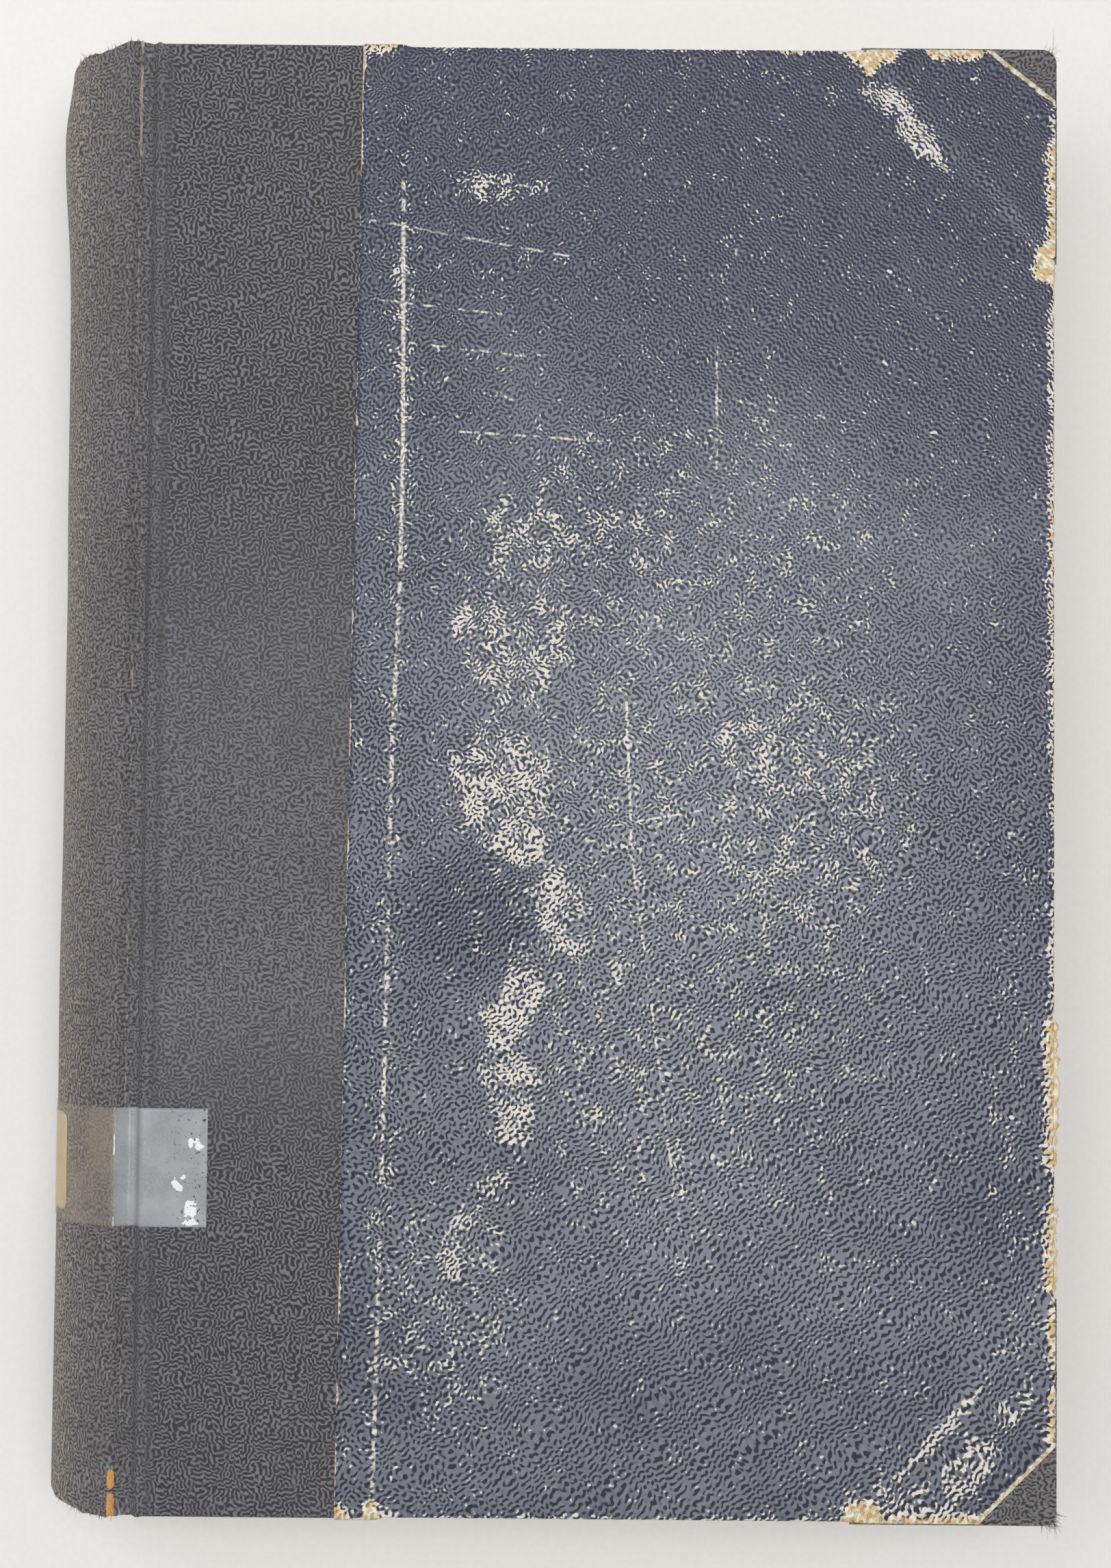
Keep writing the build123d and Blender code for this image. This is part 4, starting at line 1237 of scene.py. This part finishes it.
def lapped_strip(name, start, end, low, high, side, cloth, rounding=0.0):
    """A strip lying on the case between two places along its line and two heights, with its far
    corners rounded by moving its end in along a quarter circle. It lies over the label where there is
    one. Its attributes are shares: milky with a painted sheen past the ridge, creased at the ridge and at
    the board's edge where the creases get painted highlights, blistered and dirty at its end."""
    s = np.linspace(start, end, max(int((end - start) / (0.3 * MM)), 4))
    y = np.linspace(high, low, max(int((high - low) / (0.5 * MM)), 4))[:, None]
    near = np.clip(rounding - np.minimum(high - y, y - low), 0, None)
    inset = rounding - np.sqrt(np.clip(rounding ** 2 - near ** 2, 0, None)) if rounding else 0 * y
    along = start + (s[None, :] - start) * (end - inset - start) / (end - start)
    y = y + 0 * along
    out = GLUE + LABEL if rounding else GLUE + TAPE + LABEL * fall(along, 13 * MM, 17 * MM)
    points = case_points(along, y, out, side, cloth)
    x = points[..., 0]
    crease = 0.12 + 0 * x
    blister = 0 * x
    # Creases, which the material paints with white highlights
    for px, seed in TAPE_CREASES:
        shown = ease(wander(y, 2.0 * MM, seed), 0.05, 0.55)
        crease = crease + shown * bell(x, cover_place(px, TAPE_ROW)[0], 0.20 * MM)
    for spot in TAPE_BLISTERS:
        blister = np.maximum(blister, blot(x, y, (*spot, 0.98)))
    # haze_and_sheen: milky haze past the ridge with a painted sheen
    marks = {
        "crease": crease, "blister": blister * (side > 0),
        "haze_and_sheen": ease(along, RIDGE_S - 1 * MM, RIDGE_S + 1 * MM),
        "dirty": ease(along, end - 8 * MM, end - 2 * MM),
    }
    unrolled = np.stack((side * along, y), -1)
    return sheet_mesh(name, points, unrolled, attributes=marks, outward=(-0.3, 0, side))


def fibre_mesh(name, roots, ways, lengths, seed):
    """Loose threads: each a closed three-sided tube along a line that bends aside with the square of
    the distance from its root and thins to a fine tip."""
    rng = np.random.default_rng(seed)
    count, rings = len(roots), 6
    t = np.linspace(0, 1, rings)
    bend = rng.normal(0, 0.4, (count, 1, 3))
    length = (np.asarray(lengths) * rng.uniform(0.5, 1.1, count))[:, None, None]
    ways = np.asarray(ways, float) + rng.normal(0, 0.25, (count, 3))
    ways = ways / np.linalg.norm(ways, axis=1, keepdims=True)
    run = t[None, :, None]
    line = np.asarray(roots)[:, None] + length * (ways[:, None] * run + bend * run ** 2)
    along = np.gradient(line, axis=1)
    aside = np.cross(along, (0.31, 0.22, 0.92))
    aside = aside / np.linalg.norm(aside, axis=2, keepdims=True)
    up = np.cross(aside, along)
    up = up / np.linalg.norm(up, axis=2, keepdims=True)
    angle = np.radians((0, 120, 240))[:, None]
    radius = (rng.uniform(0.04, 0.08, count) * MM)[:, None, None, None] * (1 - 0.85 * run[..., None])
    ring = np.cos(angle) * aside[:, :, None] + np.sin(angle) * up[:, :, None]
    points = line[:, :, None] + radius * ring
    index = np.arange(count * rings * 3).reshape(count, rings, 3)
    near, far = index[:, :-1], index[:, 1:]
    sides = np.stack((near, np.roll(near, -1, 2), np.roll(far, -1, 2), far), -1)
    faces = sides.reshape(-1, 4).tolist() + index[:, 0].tolist() + index[:, -1, ::-1].tolist()
    return closed_mesh(name, points.reshape(-1, 3), faces)


def torn_ply_mesh(name, stretches, seed):
    """Plies of board that stand out of the fore edge where its paper is worn away. Each stretch of the
    edge is a closed strip with a five-sided section, from one row of photo pixels to another. Its
    width in millimetres is a slow and a quick random line added up, and fades to nothing at both ends."""
    points, faces = [], []
    middle, half = (BOARD_LOW[2] + BOARD_HIGH[2]) / 2, 1.1 * MM
    rooted = 0.35 * MM
    section = np.array(((-0.6, -1), (0.55, -0.75), (1, 0.1), (0.6, 0.8), (-0.6, 1)))
    for number, (start, end, width) in enumerate(stretches):
        low, high = cover_height(end), cover_height(start)
        y = np.arange(low, high, 0.12 * MM)
        slow, quick = wander(y, 1.3 * MM, seed + number), wander(y, 0.35 * MM, seed + 10 + number)
        ragged = 0.62 + 0.26 * slow + 0.2 * quick
        ragged = ragged * ease(y, low, low + 1.5 * MM) * fall(y, high - 1.5 * MM, high) * width * MM
        lift = 0.35 * MM * wander(y, 6 * MM, seed + 20 + number)
        x = PAPER_FORE_X - rooted + np.maximum(section[:, 0], -0.3) * (ragged[:, None] + 0.3 * MM)
        z = middle + lift[:, None] * (section[:, 0] > 0) + section[:, 1] * half
        rings = np.stack((x, np.broadcast_to(y[:, None], x.shape), z), -1)
        index = np.arange(rings.shape[0] * 5).reshape(-1, 5) + len(points)
        near, far = index[:-1], index[1:]
        sides = np.stack((near, np.roll(near, -1, 1), np.roll(far, -1, 1), far), -1)
        faces += sides.reshape(-1, 4).tolist() + [index[0, ::-1].tolist(), index[-1].tolist()]
        points += rings.reshape(-1, 3).tolist()
    return closed_mesh(name, points, faces)


class BOOK_OT_label_and_tape(bpy.types.Operator):
    """The blank paper label on the spine and the clear tape that holds it"""

    bl_idname = "book.label_and_tape"
    bl_label = "Label and Tape"

    def execute(self, context):
        tape, cloth = context.scene.book_tape, context.scene.book_cloth
        tape_end, label_end = length_at(tape.end), tape.label_length / 2
        film = tape_material(tape)
        label_paper = paper_stock("label_paper", tape.label, srgb(176, 146, 92), 0.6)
        tape_ends = tape.middle - tape.width / 2, tape.middle + tape.width / 2
        label_ends = tape.middle - tape.label_height / 2, tape.middle + tape.label_height / 2
        for name, side in SIDES.items():
            mesh = lapped_strip(
                f"{name}_label", 0, label_end, *label_ends, side, cloth, rounding=1.6 * MM
            )
            label = place(mesh, label_paper, "label_paper", LABEL)
            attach(label, "text_block")
            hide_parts("spine_label")
            mesh = lapped_strip(f"{name}_tape_strip", 0, tape_end, *tape_ends, side, cloth)
            strip = place(mesh, film, "clear_tape", TAPE)
            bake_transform(strip)
            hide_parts("tape_spine", f"{name}_tape")
        return {"FINISHED"}


class BOOK_OT_loose_fibres(bpy.types.Operator):
    """Threads and board fibres that stand out of the front cover's worn edge, its corner tips and the
    ends of the spine"""

    bl_idname = "book.loose_fibres"
    bl_label = "Loose Fibres"

    def execute(self, context):
        cloth, paper = context.scene.book_cloth, context.scene.book_paper
        rng = np.random.default_rng(51)
        low, high = BOARD_LOW[2], BOARD_HIGH[2]
        rooted = 0.25 * MM
        edge = []
        for start, end, count in EDGE_FIBRES:
            heights = cover_height(rng.uniform(start, end, count))
            edge += [(PAPER_FORE_X - rooted, y, z) for y, z in zip(heights, rng.uniform(low, high, count))]
        outward = [(0.8, 0, 0.25)] * len(edge)
        mesh = fibre_mesh("front_board_fibres", edge, outward, [0.9 * MM] * len(edge), 52)
        fibres = place(mesh, fibre_material("board_fibre", paper.cream, paper.bare), "grey_board")
        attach(fibres, "front_cover")
        mesh = torn_ply_mesh("front_torn_ply", TORN_PLIES, 55)
        ply = place(mesh, fibres.data.materials[0], "grey_board")
        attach(ply, "front_cover")
        tips, ways, lengths = [], [], []
        for end, (dx, dy), count in CORNER_THREADS:
            for _ in range(count):
                inset = rng.uniform(0.2, 2.2) * MM
                swap = rng.random() < 0.5
                x = PAPER_FORE_X - (rooted if swap else inset)
                y = end * (PAPER_END_Y - (inset if swap else rooted))
                tips.append((x, y, rng.uniform(low + 0.5 * MM, high)))
                ways.append((dx, dy, 0.2))
                lengths.append(1.9 * MM)
        mesh = fibre_mesh("front_corner_threads", tips, ways, lengths, 53)
        threads = fibre_material("cloth_thread", cloth.rubbed, cloth.colour)
        loose = place(mesh, threads, "book_cloth")
        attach(loose, "front_cover")
        at_head, at_tail = 40, 70
        reach = 8 * MM, RIDGE_S + 2 * MM
        s = np.concatenate((rng.uniform(*reach, at_head), rng.uniform(*reach, at_tail)))
        ends = np.concatenate((np.full(at_head, 1.0), np.full(at_tail, -1.0)))
        roots = case_points(s, ends * (END_Y - rooted), -rooted, 1, cloth)
        ways = [(-0.15, end, 0.25) for end in ends]
        mesh = fibre_mesh("spine_end_threads", roots, ways, [0.75 * MM] * len(roots), 54)
        frayed = place(mesh, threads, "book_cloth")
        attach(frayed, "text_block")
        return {"FINISHED"}


# Kept solids


class BOOK_OT_solid_finishes(bpy.types.Operator):
    """Finishes for the solids that show as they are: leaves, endpapers, linings, boards and corners"""

    bl_idname = "book.solid_finishes"
    bl_label = "Solid Finishes"

    def execute(self, context):
        leaf, cloth = context.scene.book_leaf, context.scene.book_cloth
        endpaper = paper_stock("endpaper", leaf.endpaper, srgb(196, 172, 128), 0.3)
        kraft = paper_stock("kraft", leaf.kraft, srgb(112, 82, 52), 0.6, 1800.0)
        board = board_material(leaf)
        gauze = gauze_material(leaf)
        corner = cloth_material(cloth, sheet=False)
        finishes = {
            "text_block": leaf_material(leaf),
            "kraft_lining": kraft,
            "spine_inlay": board,
            "spine_mull": gauze,
        }
        cotton = headband_material(leaf)
        for end in ("head", "tail"):
            finishes[f"headband_{end}"] = cotton
        for name in SIDES:
            finishes[f"{name}_flyleaf"] = endpaper
            finishes[f"{name}_pastedown"] = endpaper
            finishes[f"{name}_board"] = board
            finishes[f"{name}_mull_flange"] = gauze
            for end in ("head", "tail"):
                finishes[f"{name}_corner_{end}"] = corner
        for name, material in finishes.items():
            solid = frame["nodes"][name]
            solid.data.materials.clear()
            solid.data.materials.append(material)
        return {"FINISHED"}


# Stage


class BOOK_OT_stage(bpy.types.Operator):
    """Pale floor, soft lamps and the camera above the book"""

    bl_idname = "book.stage"
    bl_label = "Stage"

    def execute(self, context):
        stage = context.scene.book_stage
        scene = context.scene
        half = 3.0
        corners = np.array(((-half, -half, 0), (half, -half, 0), (half, half, 0), (-half, half, 0)))
        mesh = bpy.data.meshes.new("floor")
        mesh.from_pydata(corners - np.array((0, 0, 0.02 * MM)), [], [(0, 1, 2, 3)])
        floor = bpy.data.objects.new("floor", mesh)
        scene.collection.objects.link(floor)
        material, shade, surface = new_material("floor")
        tooth = shade.noise(shade.object_place(), 900.0, detail=2.0)
        flecked = shade.blend(shade.ramp(tooth, 0.3, 0.7, 0.04, 0.0), stage.floor, (0.4, 0.4, 0.4))
        shade.feed(surface.inputs["Base Color"], flecked)
        surface.inputs["Roughness"].default_value = 0.9
        surface.inputs["Specular IOR Level"].default_value = 0.1
        mesh.materials.append(material)

        world = bpy.data.worlds.new("studio")
        scene.world = world
        world.use_nodes = True
        backdrop = world.node_tree.nodes["Background"]
        backdrop.inputs["Color"].default_value = (1.0, 1.0, 1.0, 1)
        backdrop.inputs["Strength"].default_value = stage.sky

        for name, power, width, where in (
            ("key", stage.key, 0.5, (-0.33, 0.18, 0.8)),
            ("overhead", stage.overhead, 0.35, (0.12, 0.05, 0.9)),
        ):
            lamp = bpy.data.lights.new(name, "AREA")
            lamp.energy = power
            lamp.size = width
            holder = bpy.data.objects.new(name, lamp)
            holder.location = where
            holder.rotation_euler = direction_to(where, (0, 0, COVER_Z))
            scene.collection.objects.link(holder)

        lens = bpy.data.cameras.new("camera")
        lens.lens = stage.lens
        lens.sensor_width = 36
        lens.clip_start = 0.01
        camera = bpy.data.objects.new("camera", lens)
        camera.location = (0.93 * MM, -16.86 * MM, 408 * MM)
        camera.rotation_euler = tuple(math.radians(turn) for turn in (2.35, -0.033, 0.517))
        scene.collection.objects.link(camera)
        scene.camera = camera
        scene.view_settings.view_transform = "Standard"
        return {"FINISHED"}


def direction_to(start, target):
    """Turn that points a lamp's minus Z from start at target: tilted by the angle away from straight
    down, then turned towards it."""
    dx, dy, dz = (t - s for s, t in zip(start, target))
    flat = math.hypot(dx, dy)
    return (math.atan2(flat, -dz), 0, math.atan2(dx, -dy) if flat else 0)


class BOOK_PT_panel(bpy.types.Panel):
    """Lists the book's pieces"""

    bl_label = "Book"
    bl_idname = "BOOK_PT_panel"
    bl_space_type = "VIEW_3D"
    bl_region_type = "UI"
    bl_category = "Book"

    def draw(self, context):
        for operator in OPERATORS:
            self.layout.operator(operator.bl_idname)
        for label, (group, _) in SETTINGS.items():
            box = self.layout.box()
            box.label(text=group.__doc__)
            settings = getattr(context.scene, label)
            for name in group.__annotations__:
                box.prop(settings, name)


SETTINGS = {
    "book_cloth": (ClothSettings, "Cloth"),
    "book_paper": (PaperSettings, "Side paper"),
    "book_tape": (TapeSettings, "Tape and label"),
    "book_leaf": (LeafSettings, "Leaves and boards"),
    "book_stage": (StageSettings, "Stage"),
}
OPERATORS = (
    BOOK_OT_case_cloth,
    BOOK_OT_side_papers,
    BOOK_OT_label_and_tape,
    BOOK_OT_loose_fibres,
    BOOK_OT_solid_finishes,
    BOOK_OT_stage,
)


def register():
    for group, _ in SETTINGS.values():
        bpy.utils.register_class(group)
    for operator in OPERATORS:
        bpy.utils.register_class(operator)
    bpy.utils.register_class(BOOK_PT_panel)
    for label, (group, name) in SETTINGS.items():
        setattr(bpy.types.Scene, label, bpy.props.PointerProperty(type=group, name=name))


def unregister():
    for label in SETTINGS:
        delattr(bpy.types.Scene, label)
    bpy.utils.unregister_class(BOOK_PT_panel)
    for operator in reversed(OPERATORS):
        bpy.utils.unregister_class(operator)
    for group, _ in SETTINGS.values():
        bpy.utils.unregister_class(group)


def main():
    register()
    bpy.ops.book.case_cloth()
    bpy.ops.book.side_papers()
    bpy.ops.book.label_and_tape()
    bpy.ops.book.loose_fibres()
    bpy.ops.book.solid_finishes()
    bpy.ops.book.stage()


if __name__ == "__main__":
    main()
